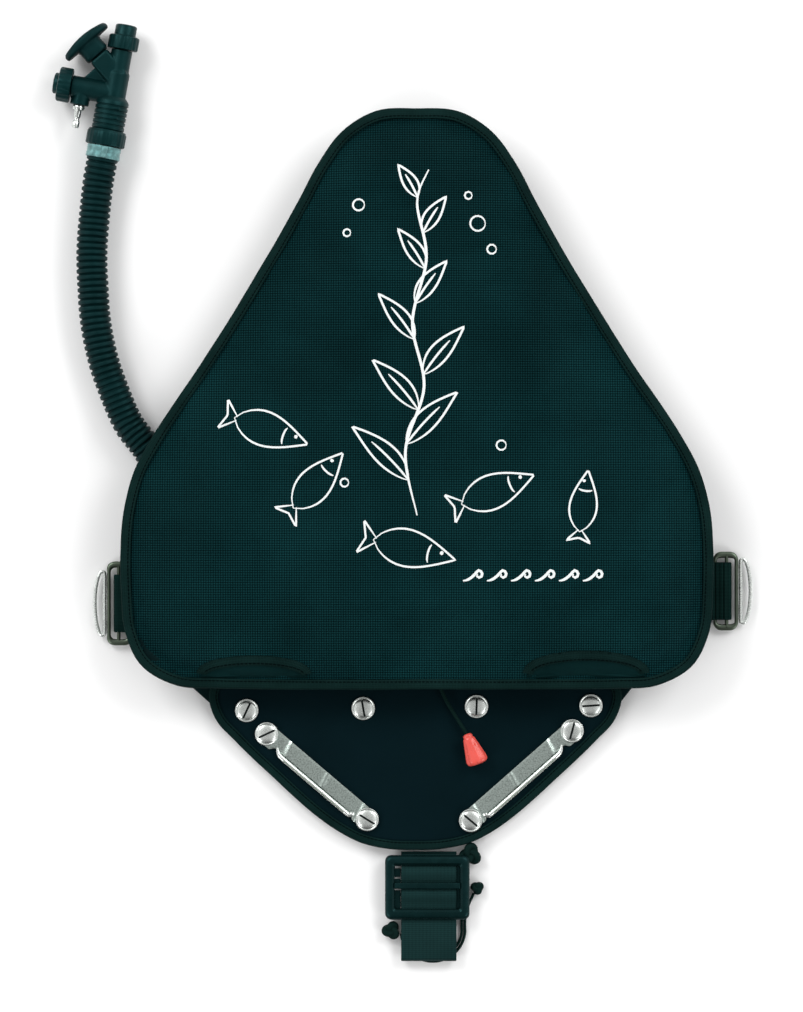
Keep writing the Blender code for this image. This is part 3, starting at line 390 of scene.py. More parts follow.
def make_looks():
    """One look for each of the record's material slots, and some for single pieces."""
    return {
        "cover_fabric": woven("cover_fabric", (0.0022, 0.0180, 0.0200), 0.0021, 0.00030, 0.95,
                              fade=(-0.22, 0.22, 1.0, 0.72)),
        "panel_fabric": woven("panel_fabric", (0.004, 0.013, 0.014), 0.0009, 0.0001, 0.35),
        "bladder_film": moulded("bladder_film", (0.11, 0.12, 0.13), 0.45),
        "binding_tape": ribbed("binding_tape", (0.0035, 0.0125, 0.0115), 0.0013, 0.0019, 0.00014),
        "pad_foam": woven("pad_foam", (0.010, 0.014, 0.015), 0.0026, 0.0004, 0.5),
        "webbing": ribbed("webbing", (0.0030, 0.0120, 0.0105), 0.0017, 0.0031, 0.00028),
        "moulded_black": moulded("moulded_black", (0.0012, 0.0120, 0.0125), 0.38, specular=0.22),
        "black_rubber": moulded("black_rubber", (0.0012, 0.0105, 0.0112), 0.50, specular=0.18),
        "black_steel": metal("black_steel", (0.11, 0.14, 0.105), 0.30),
        "stainless": metal("stainless", (0.80, 0.84, 0.81), 0.22),
        "lumbar_sheet": woven("lumbar_sheet", (0.0016, 0.0066, 0.0092), 0.0006, 0.00003, 0.25, 0.15, 0.06),
        "clamp_plastic": clear_band("clamp_plastic", (0.13, 0.25, 0.25)),
        "red_plastic": moulded("red_plastic", (0.70, 0.085, 0.065), 0.30, specular=0.45, patches=0.12,
                               gloss=WHITE_GLOSS),
        "bungee": braided("bungee", (0.0032, 0.0105, 0.0090), 0.0011, 0.00012),
        "print": printed("white_ink"),
        "buckle": moulded("buckle", (0.0010, 0.0062, 0.0064), 0.28, specular=0.26),
        "tail": ribbed("tail", (0.0026, 0.0100, 0.0095), 0.0017, 0.0031, 0.00012, specular=0.30),
        # Near-black matte look for the strip in each screw slot: painted shade, not dirt.
        "painted_slot_shade": moulded("painted_slot_shade", (0.010, 0.014, 0.013), 0.8, specular=0.05),
        "flap": woven("flap", (0.0026, 0.0150, 0.0155), 0.0007, 0.00004, 0.3),
        "thread": ribbed("thread", (0.0005, 0.0016, 0.0017), 0.0005, 0.0004, 0.00005),
        "rail": mottled("rail_steel", (0.50, 0.58, 0.54)),
    }


# Shapes

def add_mesh(name, points, faces, tape=None, angle=40):
    """A smooth-shaded mesh object. tape gives each corner of each face its (along, across)."""
    data = bpy.data.meshes.new(name)
    data.from_pydata([tuple(p) for p in points], [], faces)
    if tape:
        layer = data.uv_layers.new(name="tape")
        flat = [value for face in tape for corner in face for value in corner]
        layer.data.foreach_set("uv", flat)
    work = bmesh.new()
    work.from_mesh(data)
    bmesh.ops.recalc_face_normals(work, faces=work.faces)
    work.to_mesh(data)
    work.free()
    data.shade_smooth()
    data.set_sharp_from_angle(angle=math.radians(angle))
    return linked(name, data)


def arc(x, y, radius, first, last, steps):
    """Plan points on an arc, from its first to its last angle in degrees."""
    angles = [math.radians(first + (last - first) * k / steps) for k in range(steps + 1)]
    return [(x + radius * math.cos(a), y + radius * math.sin(a)) for a in angles]


def length_of(line):
    return sum((b - a).length for a, b in zip(line, line[1:]))


def ring_faces(rings, wide, closed=False):
    """Faces between rings of points, with a cap at each end unless the rings close on themselves."""
    faces = []
    for i in range(rings if closed else rings - 1):
        j = (i + 1) % rings
        for k in range(wide):
            m = (k + 1) % wide
            faces.append((i * wide + k, i * wide + m, j * wide + m, j * wide + k))
    if not closed:
        faces += [tuple(range(wide)), tuple(range((rings - 1) * wide, rings * wide))]
    return faces


def spline(points, count, closed=False):
    """count points, evenly spaced, on a smooth curve through the given ones."""
    corners = [Vector(p) for p in points]
    size = len(corners)
    dense = []
    for i in range(size if closed else size - 1):
        if closed:
            a, b, c, d = (corners[(i + k) % size] for k in (-1, 0, 1, 2))
        else:
            a, b, c, d = (corners[min(max(i + k, 0), size - 1)] for k in (-1, 0, 1, 2))
        for k in range(12):
            t = k / 12
            dense.append(0.5 * (2 * b + (c - a) * t + (2 * a - 5 * b + 4 * c - d) * t * t
                                + (3 * b - a - 3 * c + d) * t ** 3))
    dense.append(corners[0] if closed else corners[-1])
    return evenly(dense, count, closed)


def evenly(line, count, closed=False):
    """count points, evenly spaced, on a line of straight runs."""
    line = np.array([tuple(p) for p in line])
    lengths = np.concatenate([[0], np.cumsum(np.linalg.norm(np.diff(line, axis=0), axis=1))])
    wanted = np.linspace(0, lengths[-1], count, endpoint=not closed)
    columns = [np.interp(wanted, lengths, line[:, k]) for k in range(line.shape[1])]
    return [Vector(p) for p in zip(*columns)]


def sweep(name, path, section, closed=False, up=UP, angle=40, across=None):
    """A section of (sideways, up) points carried along a path. It may change along the path.

    Sideways is level and square to the path, or the direction given as across."""
    path = [Vector(p).to_3d() for p in path]
    size = len(path)
    points, lengths = [], [0.0]
    for before, after in zip(path, path[1:]):
        lengths.append(lengths[-1] + (after - before).length)
    rounds = []
    for i, middle in enumerate(path):
        if closed:
            along = (path[(i + 1) % size] - path[i - 1]).normalized()
        else:
            along = (path[min(i + 1, size - 1)] - path[max(i - 1, 0)]).normalized()
        side = across or along.cross(up).normalized()
        lift = side.cross(along)
        ring = section(lengths[i], i) if callable(section) else section
        points += [middle + side * s + lift * h for s, h in ring]
        rounds.append(ring)
    wide = len(rounds[0])
    around = [0.0]
    for a, b in zip(rounds[0], rounds[0][1:] + rounds[0][:1]):
        around.append(around[-1] + math.dist(a, b))
    lengths.append(lengths[-1] + (path[0] - path[-1]).length)
    tape = [((lengths[i], around[k]), (lengths[i], around[k + 1]),
             (lengths[i + 1], around[k + 1]), (lengths[i + 1], around[k]))
            for i in range(size if closed else size - 1) for k in range(wide)]
    if not closed:
        tape += [tuple((lengths[i], a) for a in around[:wide]) for i in (0, size - 1)]
    return add_mesh(name, points, ring_faces(size, wide, closed), tape, angle)


def ring_section(radius, sides=16, flat=1.0):
    turns = [2 * math.pi * k / sides for k in range(sides)]
    return [(radius * math.cos(a), radius * flat * math.sin(a)) for a in turns]


def band_section(width, thickness):
    """A flat band with round edges."""
    r = thickness / 2
    half = width / 2 - r
    found = []
    steps = 6
    for centre, first in ((half, -90), (-half, 90)):
        found += arc(centre, 0, r, first, first + 180, 5)
        sign = -1 if centre > 0 else 1
        found += [(centre + sign * 2 * half * k / steps, r if centre > 0 else -r) for k in range(1, steps)]
    return found


def lathe(name, profile, foot, axis, steps=48, flutes=0, depth=0.0, flute_from=1.0, angle=40):
    """A turned piece. Its (radius, height) profile may have flutes where it is widest."""
    turn = Vector(axis).to_track_quat("Z", "Y").to_matrix()
    widest = max(r for r, _ in profile)
    points, rows = [], []
    for r, h in profile:
        if r < 1e-6:
            rows.append([len(points)])
            points.append(foot + turn @ Vector((0, 0, h)))
            continue
        row = []
        for k in range(steps):
            a = 2 * math.pi * k / steps
            cut = depth * max(0, math.cos(a * flutes)) ** 2 if flutes and r >= widest * flute_from else 0
            row.append(len(points))
            points.append(foot + turn @ Vector(((r - cut) * math.cos(a), (r - cut) * math.sin(a), h)))
        rows.append(row)
    faces = []
    for a, b in zip(rows, rows[1:]):
        for k in range(steps):
            m = (k + 1) % steps
            face = (a[k % len(a)], a[m % len(a)], b[m % len(b)], b[k % len(b)])
            face = tuple(dict.fromkeys(face))
            if len(face) > 2:
                faces.append(face)
    for row in (rows[0], rows[-1]):
        if len(row) > 1:
            faces.append(tuple(row))
    return add_mesh(name, points, faces, angle=angle)


def hoop(name, profile, foot, axis, steps, flutes=0, depth=0.0):
    """A turned ring: its profile is closed and stays clear of the axis."""
    turn = Vector(axis).to_track_quat("Z", "Y").to_matrix()
    widest = max(r for r, _ in profile)
    points = []
    for k in range(steps):
        a = 2 * math.pi * k / steps
        for r, h in profile:
            cut = depth * max(0, math.cos(a * flutes)) if flutes and r > widest - 0.0008 else 0
            points.append(foot + turn @ Vector(((r - cut) * math.cos(a), (r - cut) * math.sin(a), h)))
    return add_mesh(name, points, ring_faces(steps, len(profile), closed=True))


def joined(name, pieces):
    """One object from several meshes in the row frame."""
    work = bmesh.new()
    for piece in pieces:
        work.from_mesh(piece.data)
        bpy.data.objects.remove(piece)
    return linked(name, mesh_of(name, work))


def bake(obj):
    """Works an object's modifiers into its mesh."""
    bpy.context.view_layer.update()
    graph = bpy.context.evaluated_depsgraph_get()
    data = bpy.data.meshes.new_from_object(obj.evaluated_get(graph))
    obj.modifiers.clear()
    obj.data = data


def cut(obj, tool):
    step = obj.modifiers.new("cut", "BOOLEAN")
    step.operation = "DIFFERENCE"
    step.object = tool
    bake(obj)
    bpy.data.objects.remove(tool)


def block(name, size, centre, turn=0.0, bevel=0.0, segments=3):
    """A box, as a tool for cuts or a body to be rounded."""
    work = bmesh.new()
    matrix = Matrix.Translation(centre) @ Matrix.Rotation(turn, 4, "Z") @ Matrix.Diagonal((*size, 1))
    bmesh.ops.create_cube(work, size=1, matrix=matrix)
    if bevel:
        bmesh.ops.bevel(work, geom=work.edges[:], offset=bevel, segments=segments, affect="EDGES",
                        profile=0.5)
    data = mesh_of(name, work)
    data.shade_smooth()
    data.set_sharp_from_angle(angle=math.radians(35))
    return linked(name, data)


def dress(piece, *nodes, look=None, body=None, slot=None, stands_for=True):
    """Gives a piece its look and body, by default those of the CAD node it stands for."""
    node = nodes[0]
    piece.data.materials.clear()
    piece.data.materials.append(LOOKS[look or SLOT_OF[node]])
    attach(piece, body or BODY_OF[node])
    if stands_for:
        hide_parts(*nodes)
    return piece


def rim(node, count, soft=True):
    """A node's outline in plan, anticlockwise, smooth through its corners unless soft is False."""
    data = NODES[node].data
    points = np.array([v.co[:2] for v in data.vertices])
    ends = points[np.array([e.vertices[:] for e in data.edges])]
    middle = (points.min(0) + points.max(0)) / 2
    a, b = ends[:, 0] - middle, ends[:, 1] - middle
    kept = {}
    for p in np.unique(points.round(5), axis=0) - middle:
        reach = np.linalg.norm(p)
        u = p / max(reach, 1e-9)
        ca, cb = a[:, 0] * u[1] - a[:, 1] * u[0], b[:, 0] * u[1] - b[:, 1] * u[0]
        hit = (ca * cb <= 1e-12) & (abs(ca - cb) > 1e-9)
        t = (ca[hit] / (ca[hit] - cb[hit]))[:, None]
        furthest = ((a[hit] + (b[hit] - a[hit]) * t) @ u).max(initial=0)
        if reach > furthest - 0.0002:
            kept[round(math.atan2(p[1], p[0]), 3)] = p + middle
    corners = [Vector(kept[angle]) for angle in sorted(kept)]
    return spline(corners, count, closed=True) if soft else evenly(corners + corners[:1], count, closed=True)


def inwards(outline, distance):
    """An anticlockwise outline moved inwards, or outwards for a negative distance."""
    size = len(outline)
    moved = []
    for i, point in enumerate(outline):
        along = (outline[(i + 1) % size] - outline[i - 1]).normalized()
        moved.append(Vector((point.x - along.y * distance, point.y + along.x * distance)))
    return moved


def away(points, outline):
    """How far each plan point is from an outline."""
    a = np.array([tuple(p)[:2] for p in outline])
    run = np.roll(a, -1, axis=0) - a
    best = np.full(len(points), 1e9)
    for start, step in zip(a, run):
        t = np.clip((points - start) @ step / (step @ step), 0, 1)
        best = np.minimum(best, np.linalg.norm(points - start - t[:, None] * step, axis=1))
    return best


def plan_mesh(outline, spacing):
    """(points, triangles, distances in from the edge) of an even mesh that fills an outline."""
    a = np.array([tuple(p) for p in outline])
    low, high = a.min(0), a.max(0)
    grid = [(low[0] + spacing * (i + 0.5 * (j % 2)), low[1] + spacing * 0.866 * j)
            for j in range(int((high[1] - low[1]) / spacing / 0.866) + 1)
            for i in range(int((high[0] - low[0]) / spacing) + 1)]
    grid = np.array(grid)
    after = np.roll(a, -1, axis=0)
    inside = np.zeros(len(grid), bool)
    for (x0, y0), (x1, y1) in zip(a, after):
        if y0 != y1:
            crosses = (grid[:, 1] > min(y0, y1)) & (grid[:, 1] <= max(y0, y1))
            inside ^= crosses & (grid[:, 0] < x0 + (grid[:, 1] - y0) * (x1 - x0) / (y1 - y0))
    grid = grid[inside & (away(grid, outline) > spacing * 0.55)]
    size = len(a)
    both = [Vector(p) for p in np.concatenate([a, grid])]
    edges = [(i, (i + 1) % size) for i in range(size)]
    points, _, faces, *_ = delaunay_2d_cdt(both, edges, [], 1, 1e-6)
    points = np.array([tuple(p) for p in points])
    return points, [tuple(f) for f in faces], away(points, outline)


# The wing

WING_SPACING = 0.0058
WING_SLACK = -0.012
PRESSURE = 5.0
SIM_FRAMES = 20
MOST_SWELL = 0.006
BINDING_REACH = 0.0095
BLADDER_CLEARANCE = 0.0024
SEAM_LIFT = 0.0006
PANEL_THICKNESS = 0.0010


def rise_share(distance):
    return 1 - np.exp(-np.maximum(distance - BINDING_REACH, 0) / 0.034)


def dip_share(distance):
    t = np.clip((distance - BINDING_REACH) / 0.105, 0, 1)
    return t * t * (3 - 2 * t)


def inflate(piece, pinned):
    """Cloth simulation with air pressure inside. Returns where the points end."""
    rest = np.array([v.co[:] for v in piece.data.vertices])
    group = piece.vertex_groups.new(name="seam")
    group.add([int(i) for i in np.flatnonzero(pinned)], 1.0, "REPLACE")
    cloth = piece.modifiers.new("cloth", "CLOTH")
    settings = cloth.settings
    settings.quality = 7
    settings.mass = 0.25
    settings.tension_stiffness = settings.compression_stiffness = 22
    settings.shear_stiffness = 12
    settings.bending_stiffness = 0.6
    settings.tension_damping = settings.compression_damping = 12
    settings.shrink_min = WING_SLACK
    settings.use_pressure = True
    settings.uniform_pressure_force = PRESSURE
    settings.vertex_group_mass = group.name
    settings.effector_weights.gravity = 0
    cloth.collision_settings.use_collision = False
    scene = bpy.context.scene
    for number in range(1, SIM_FRAMES + 1):
        scene.frame_set(number)
    graph = bpy.context.evaluated_depsgraph_get()
    found = np.array([v.co[:] for v in piece.evaluated_get(graph).data.vertices])
    piece.modifiers.remove(cloth)
    scene.frame_set(1)
    step = found - rest
    length = np.linalg.norm(step, axis=1, keepdims=True)
    return rest + step * np.minimum(1, MOST_SWELL / np.maximum(length, 1e-9))


def sheet_mesh(name, points, faces):
    shell = add_mesh(name, points, faces, angle=180)
    fine = shell.modifiers.new("fine", "SUBSURF")
    fine.levels = fine.render_levels = 1
    solid = shell.modifiers.new("cloth thickness", "SOLIDIFY")
    solid.thickness = PANEL_THICKNESS
    solid.offset = -1
    return shell


def make_wing():
    """Both panels of the wing, blown up together as one closed bag and then taken apart."""
    seam = sum(c.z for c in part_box("edge_binding")) / 2
    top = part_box("outer_cover")[1].z
    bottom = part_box("inner_cover")[0].z
    outline = rim("outer_cover", 300)
    plan, faces, distance = plan_mesh(outline, WING_SPACING)
    size = len(plan)
    edge = distance < 1e-6
    upper = seam + SEAM_LIFT + (top - seam - SEAM_LIFT) * rise_share(distance)
    lower = seam - SEAM_LIFT - (seam - bottom - SEAM_LIFT) * dip_share(distance)
    upper[edge] = lower[edge] = seam
    other = np.where(edge, np.arange(size), np.arange(size) + size)
    bag_points = np.concatenate([np.column_stack([plan, upper]), np.column_stack([plan, lower])])
    bag_faces = faces + [tuple(int(other[i]) for i in reversed(f)) for f in faces]
    bag = add_mesh("bag", bag_points, bag_faces)
    pinned = np.tile(distance < BINDING_REACH - 0.001, 2)
    bag_points = inflate(bag, pinned)
    bpy.data.objects.remove(bag)
    upper_points, lower_points = bag_points[:size].copy(), bag_points[size:].copy()
    lower_points[edge] = upper_points[edge]
    upper_points[:, 2] = np.minimum(upper_points[:, 2], top + MOST_SWELL)
    lower_points[:, 2] = np.maximum(lower_points[:, 2], lower - 0.0002)
    crease(upper_points, distance)
    lift_clear(upper_points, "air_bladder")
    cover = sheet_mesh("wing_cover", upper_points, faces)
    dress(cover, "outer_cover")
    lining = sheet_mesh("wing_lining", lower_points, [tuple(reversed(f)) for f in faces])
    dress(lining, "inner_cover")
    return cover, outline, seam


def lift_clear(points, node):
    """Raises the points that a node inside would come through."""
    graph = bpy.context.evaluated_depsgraph_get()
    tree = BVHTree.FromObject(NODES[node], graph)
    for point in points:
        hit = tree.ray_cast(Vector((point[0], point[1], 1)), -UP)[0]
        if hit:
            point[2] = max(point[2], hit.z + BLADDER_CLEARANCE)


def crease(points, distance):
    """Soft folds that the sewing pulls into the panel near its edge, deepest along the foot."""
    for point, d in zip(points, distance):
        if d > 0.001:
            p = Vector(point)
            near = math.exp(-((d - 0.020) / 0.016) ** 2)
            foot = 1 + 1.2 * max(0.0, min(1.0, (-0.12 - p.y) / 0.08))
            fold = noise.noise(Vector((p.x * 42, p.y * 42, 3.1))) * 0.0011 * near * foot
            broad = noise.noise(Vector((p.x * 13, p.y * 11, 7.7))) * 0.0016 * min(1, d / 0.04)
            point[2] += fold + broad


BINDING_WIDTH = 0.0088
WING_TAPE_WALL = 0.0011
STITCH_PITCH = 0.0034
STITCH_LENGTH = 0.0024
STITCH_RADIUS = 0.00048
TAPE_PROUD = 0.0014


def folded_tape(seam_half, wall, width):
    """Section of a tape folded round an edge at x = 0, open towards -x."""
    outer = seam_half + wall
    half = [(-width, outer - 0.0003), (-width + 0.0005, outer), (-width * 0.6, outer + 0.0001),
            (-0.0022, outer), (-0.0007, outer * 0.85), (0, outer * 0.45)]
    section = half + [(x, -h) for x, h in reversed(half)]
    inner = seam_half
    section += [(-width, -inner), (-wall, -inner), (-wall, inner), (-width, inner)]
    return section


def bound_edge(name, outline, height, seam_half, wall, width, node, puckers=0.00035):
    """A tape folded round an outline, drawn in a little between its stitches."""
    path = [Vector((p.x, p.y, height)) for p in outline]
    section = folded_tape(seam_half, wall, width)

    def puckered(_, i):
        pull = noise.noise(Vector((path[i].x * 60, path[i].y * 60, 1.5))) * puckers
        wander = noise.noise(Vector((path[i].x * 25, path[i].y * 25, 9.5))) * puckers
        return [(x + wander, h + (pull if h > 0 else -pull) * (x > -width * 0.9)) for x, h in section]

    dress(sweep(name, path, puckered, closed=True, angle=50), node)


def stitches(name, line, height_of, node):
    """A row of raised thread stitches along a plan line."""
    spots = evenly(line, int(length_of(line) / STITCH_PITCH) + 1)
    pieces = []
    for a, b in zip(spots, spots[1:]):
        along = (b - a).normalized()
        ends = [a + along * STITCH_LENGTH * t for t in (0, 0.18, 0.5, 0.82, 1)]
        lifts = (-0.0002, 0.00012, 0.00022, 0.00012, -0.0002)
        path = [Vector((p.x, p.y, height_of(p) + lift)) for p, lift in zip(ends, lifts)]
        pieces.append(sweep("stitch", path, ring_section(STITCH_RADIUS, 6)))
    dress(joined(name, pieces), node, look="thread", slot="binding_tape", stands_for=False)


def surface_of(piece):
    """A function that gives the height of a piece's upper face over a plan point."""
    graph = bpy.context.evaluated_depsgraph_get()
    tree = BVHTree.FromObject(piece, graph)
    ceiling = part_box("outer_cover")[1].z + 0.05

    def height(p, missing=None):
        hit = tree.ray_cast(Vector((p[0], p[1], ceiling)), -UP)[0]
        return hit.z if hit else missing

    return height


def make_arches(height):
    """Half-moon openings at the foot: a bound edge over a smooth inner flap."""
    for side in ("left", "right"):
        node = f"arch_binding_{side}"
        low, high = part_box(node)
        half = (high.x - low.x) / 2 - 0.0045
        middle_x, foot, rise = (low.x + high.x) / 2, low.y + 0.0010, high.y - low.y - 0.0055
        line = [Vector((middle_x + half * math.cos(a), foot + rise * math.sin(a)))
                for a in (math.pi * k / 44 for k in range(45))]
        path = [Vector((p.x, p.y, height(p, low.z) + 0.0007)) for p in line]
        band = sweep(node.replace("binding", "edge"), path, band_section(0.0088, 0.0012))
        drape(band, height, 0.0004, 0.0016)
        dress(band, node)
        flap_line = [Vector((middle_x + (half + 0.001) * x, foot - 0.004 + (rise + 0.003) * y)) for x, y in
                     [(math.cos(a), math.sin(a)) for a in (math.pi * k / 30 for k in range(31))]]
        points, faces, _ = plan_mesh(flap_line, 0.0035)
        flap = add_mesh(f"arch_flap_{side}",
                        [(x, y, height((x, y), low.z) + 0.0005) for x, y in points], faces)
        solid = flap.modifiers.new("thickness", "SOLIDIFY")
        solid.thickness = 0.0004
        dress(flap, node, look="flap", slot="panel_fabric", stands_for=False)
        inner = [Vector((middle_x + (p.x - middle_x) * 0.955, foot + (p.y - foot) * 0.78))
                 for p in line[2:-2]]
        stitches(f"arch_stitches_{side}", inner, lambda p: height(p, low.z) + 0.0016, node)


def drape(piece, height, low, high):
    """Lays a thin strip on the surface under it, keeping its thickness."""
    points = [v.co.copy() for v in piece.data.vertices]
    middle = sum(p.z for p in points) / len(points)
    for vertex in piece.data.vertices:
        here = height(vertex.co, middle)
        vertex.co.z = max(here + low, min(here + high, vertex.co.z))


# The print: a sea plant, bubbles, fish and wave crests in place of the maker's art

def leaf_line(foot, angle, length, width, bend=0.25):
    """Outline of a leaf, and its vein."""
    along = Vector((math.cos(angle), math.sin(angle)))
    across = Vector((-along.y, along.x))
    sides = []
    for sign in (1, -1):
        sides.append([
            foot + along * length * t + across * (sign * width * math.sin(math.pi * t ** 0.8) / 2
                                                  + bend * length * t * t * 0.5)
            for t in (k / 16 for k in range(17))
        ])
    vein = [(a + b) / 2 for a, b in zip(*sides)][:12]
    return [sides[0] + sides[1][::-1], vein]


def fish_lines(middle, angle, length):
    """Outline of a plain fish with a gill line and an eye."""
    turn = Matrix.Rotation(angle, 2)
    body = [(-0.36, 0.0)]
    for sign in (1, -1):
        steps = range(13) if sign > 0 else range(12, -1, -1)
        body += [(-0.36 + 0.86 * k / 12, sign * 0.19 * math.sin(math.pi * (k / 12) ** 0.75)) for k in steps]
    tail = [(-0.33, 0.02), (-0.50, 0.17), (-0.44, 0.0), (-0.50, -0.17), (-0.33, -0.02)]
    gill = [(0.24 - 0.03 * math.cos(a), 0.10 * math.sin(a))
            for a in (math.radians(-70 + 14 * k) for k in range(11))]
    eye = arc(0.35, 0.035, 0.012, 0, 360, 9)
    return [[middle + turn @ Vector(p) * length for p in line] for line in (body, tail, gill, eye)]


def crest_line(middle, size):
    """A curling wave crest."""
    rise = [(-1.3 + 1.3 * t, -0.5 + 0.9 * t * t) for t in (k / 10 for k in range(11))]
    curl = [(0.05 + (0.42 - 0.30 * k / 16) * math.cos(math.radians(100 - 20 * k)),
             0.02 + (0.42 - 0.30 * k / 16) * math.sin(math.radians(100 - 20 * k))) for k in range(1, 17)]
    return [middle + Vector(p) * size for p in rise + curl]


# (x, y, radius) of each bubble, and (x, y, angle, length) of each fish
BUBBLES = (
    (0.052, 0.150, 0.0065), (0.064, 0.128, 0.0040), (-0.050, 0.166, 0.0050), (-0.060, 0.142, 0.0032),
    (0.044, 0.174, 0.0032), (-0.062, -0.072, 0.0036), (0.072, -0.040, 0.0042),
)
FISH = (
    (-0.130, -0.026, -20, 0.078), (-0.088, -0.074, 48, 0.074), (-0.008, -0.128, -14, 0.084),
    (0.064, -0.080, 22, 0.078), (0.142, -0.092, 82, 0.062),
)


def print_lines():
    """(line, width) for each stroke of the print."""
    strokes = []
    stem = spline([(0.000, -0.100), (-0.010, -0.045), (0.006, 0.010), (-0.004, 0.065), (0.008, 0.120),
                   (0.000, 0.168), (0.010, 0.196)], 60)
    strokes.append((stem, 0.0024))
    for k in range(9):
        foot = stem[6 + 6 * k]
        sign = 1 if k % 2 else -1
        size = 0.066 - 0.0042 * k
        lift = math.radians(52 + 2 * k)
        angle = lift if sign > 0 else math.pi - lift
        for line in leaf_line(foot, angle, size, 0.0185 - 0.0008 * k, -0.30 * sign):
            strokes.append((line, 0.0019))
    for x, y, r in BUBBLES:
        strokes.append(([Vector(p) for p in arc(x, y, r, 0, 360, 24)], 0.0016))
    for x, y, angle, length in FISH:
        for line in fish_lines(Vector((x, y)), math.radians(angle), length):
            strokes.append((line, 0.0017))
    for k in range(6):
        strokes.append((crest_line(Vector((0.052 + 0.0205 * k, -0.151)), 0.0098), 0.0024))
    return strokes


def make_print(height):
    pieces = []
    for line, width in print_lines():
        fine = evenly(line, max(8, int(length_of(line) / 0.0022)))
        path = [Vector((p.x, p.y, height(p, 0.05) + 0.00025)) for p in fine]
        size = len(path)

        def brush(_, i, width=width, size=size):
            share = min(1.0, 0.45 + 3.5 * min(i, size - 1 - i) / size)
            half, thick = width * share / 2, 0.00012
            return [(-half, -thick), (half, -thick), (half, thick), (-half, thick)]

        pieces.append(sweep("stroke", path, brush))
    art = joined("white_print", pieces)
    dress(art, "outer_cover", look="print", stands_for=False)


# Hose and cords

HOSE_RIB = 0.0054
HOSE_RIB_DEPTH = 0.0021
HOSE_CUFF = 0.009


def hose_path():
    start = PORT + (Vector(HOSE_ROUTE[0]) - PORT).normalized() * HOSE_START
    return [start, *map(Vector, HOSE_ROUTE), HOSE_TOP + INFLATOR_AXIS * 0.0017]


def make_hose():
    points = hose_path()
    path = spline(points, int(length_of(points) / HOSE_RIB * 10))
    long = length_of(path)
    radius = HOSE_DIAMETER / 2

    def section(at, _):
        phase = (at % HOSE_RIB) / HOSE_RIB
        valley = max(0.0, 1 - abs(phase - 0.5) / 0.24)
        if min(at, long - at) < HOSE_CUFF:
            valley = 0
        return ring_section(radius - HOSE_RIB_DEPTH * valley ** 0.7, 40)

    hose = sweep("hose", path, section, angle=60)
    dress(hose, "corrugated_hose")
    return hose, path, long


KNOT_FLATNESS = 0.62


def overhand_knot(name, middle, radius, thick, turn):
    """A lumpy knot: a fat cord on a trefoil."""
    path = []
    for k in range(60):
        a = math.tau * k / 60
        p = Vector((math.sin(a) + 2 * math.sin(2 * a), math.cos(a) - 2 * math.cos(2 * a),
                    -math.sin(3 * a) * 1.1))
        p = Matrix.Rotation(turn, 3, "Z") @ p
        path.append(middle + Vector((p.x, p.y, p.z * KNOT_FLATNESS)) * (radius - thick) / 3)
    return sweep(name, path, ring_section(thick, 12), closed=True, up=Vector((0.3, 0.2, 1)))


SPARE_KNOT = Vector((0.0462, -0.3935, 0.0058))


def make_cords():
    hose, hose_line, hose_length = make_hose()
    on_hose = [NODES[n] for n in ("elbow_clamp", "inflator_elbow")] + make_inflator()
    make_pull_cord()
    make_bungee()


def make_pull_cord():
    line = spline(PULL_CORD_ROUTE, 60)
    cord = sweep("pull_cord", line, ring_section(PULL_CORD_DIAMETER / 2, 14))
    dress(cord, "dump_pull_cord")
    knob = make_knob()


def make_bungee():
    turns = [math.radians(188 + 15 * k) for k in range(13)]
    route = [BUNGEE_CENTRE + Vector((BUNGEE_LOOP * math.cos(a), BUNGEE_LOOP * math.sin(a), 0)) for a in turns]
    route += [BUNGEE_CENTRE + Vector(step) for step in BUNGEE_TAIL]
    loop_line = spline(route, 110)
    loop = sweep("bungee", loop_line, ring_section(BUNGEE_DIAMETER / 2, 12))
    dress(loop, "bungee_loop")
    inner_line = [BUNGEE_CENTRE + (p - BUNGEE_CENTRE) * 0.90 + UP * 0.0003 for p in loop_line[:-16]]
    strand = sweep("bungee_strand", inner_line, ring_section(BUNGEE_DIAMETER * 0.44, 12))
    dress(strand, "bungee_loop", stands_for=False)
    knots = [strand]
    for side, turn in (("left", 0.6), ("right", 0.1)):
        node = f"bungee_knot_{side}"
        low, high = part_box(node)
        middle, reach = (low + high) / 2, (high.y - low.y) / 2
        knots.append(overhand_knot(f"knot_{side}", middle, reach * 1.22, 0.0028, turn))
        dress(knots[-1], node)
    knots.append(overhand_knot("knot_spare", SPARE_KNOT, 0.0105, 0.0030, 0.9))
    dress(knots[-1], "bungee_knot_right", stands_for=False)


def make_knob():
    """Drop-shaped pull knob with grip ribs, and the cord's stopper on its tip."""
    start, end = Vector((0.0434, -0.2893, 0.0180)), Vector((0.0530, -0.3148, 0.0180))
    along = (end - start).normalized()
    side = along.cross(UP)
    length = (end - start).length
    outline = [(-0.02, 0.0022), (0.0, 0.0034), (0.06, 0.0042), (0.10, 0.0039), (0.14, 0.0050), (0.30, 0.0062),
               (0.50, 0.0075), (0.70, 0.0088), (0.84, 0.0094), (0.92, 0.0090), (0.975, 0.0074), (1.0, 0.0045)]
    curve = spline([(s, r, 0) for s, r in outline], 40)
    points, sides = [], 48
    for p in curve:
        for k in range(sides):
            a = math.tau * k / sides
            grip = 0.0008 * max(0.0, math.cos(a * 9)) ** 2 * min(1.0, max(0.0, (p.x - 0.18) * 6))
            radius = p.y - grip
            points.append(start + along * p.x * length + side * radius * math.cos(a)
                          + UP * radius * 0.72 * math.sin(a))
    return dress(add_mesh("knob", points, ring_faces(len(curve), sides), angle=60), "pull_knob")


# Inflator

def at_inflator(distance, out=0.0):
    return HOSE_TOP + INFLATOR_AXIS * distance + BRANCH_AXIS * out


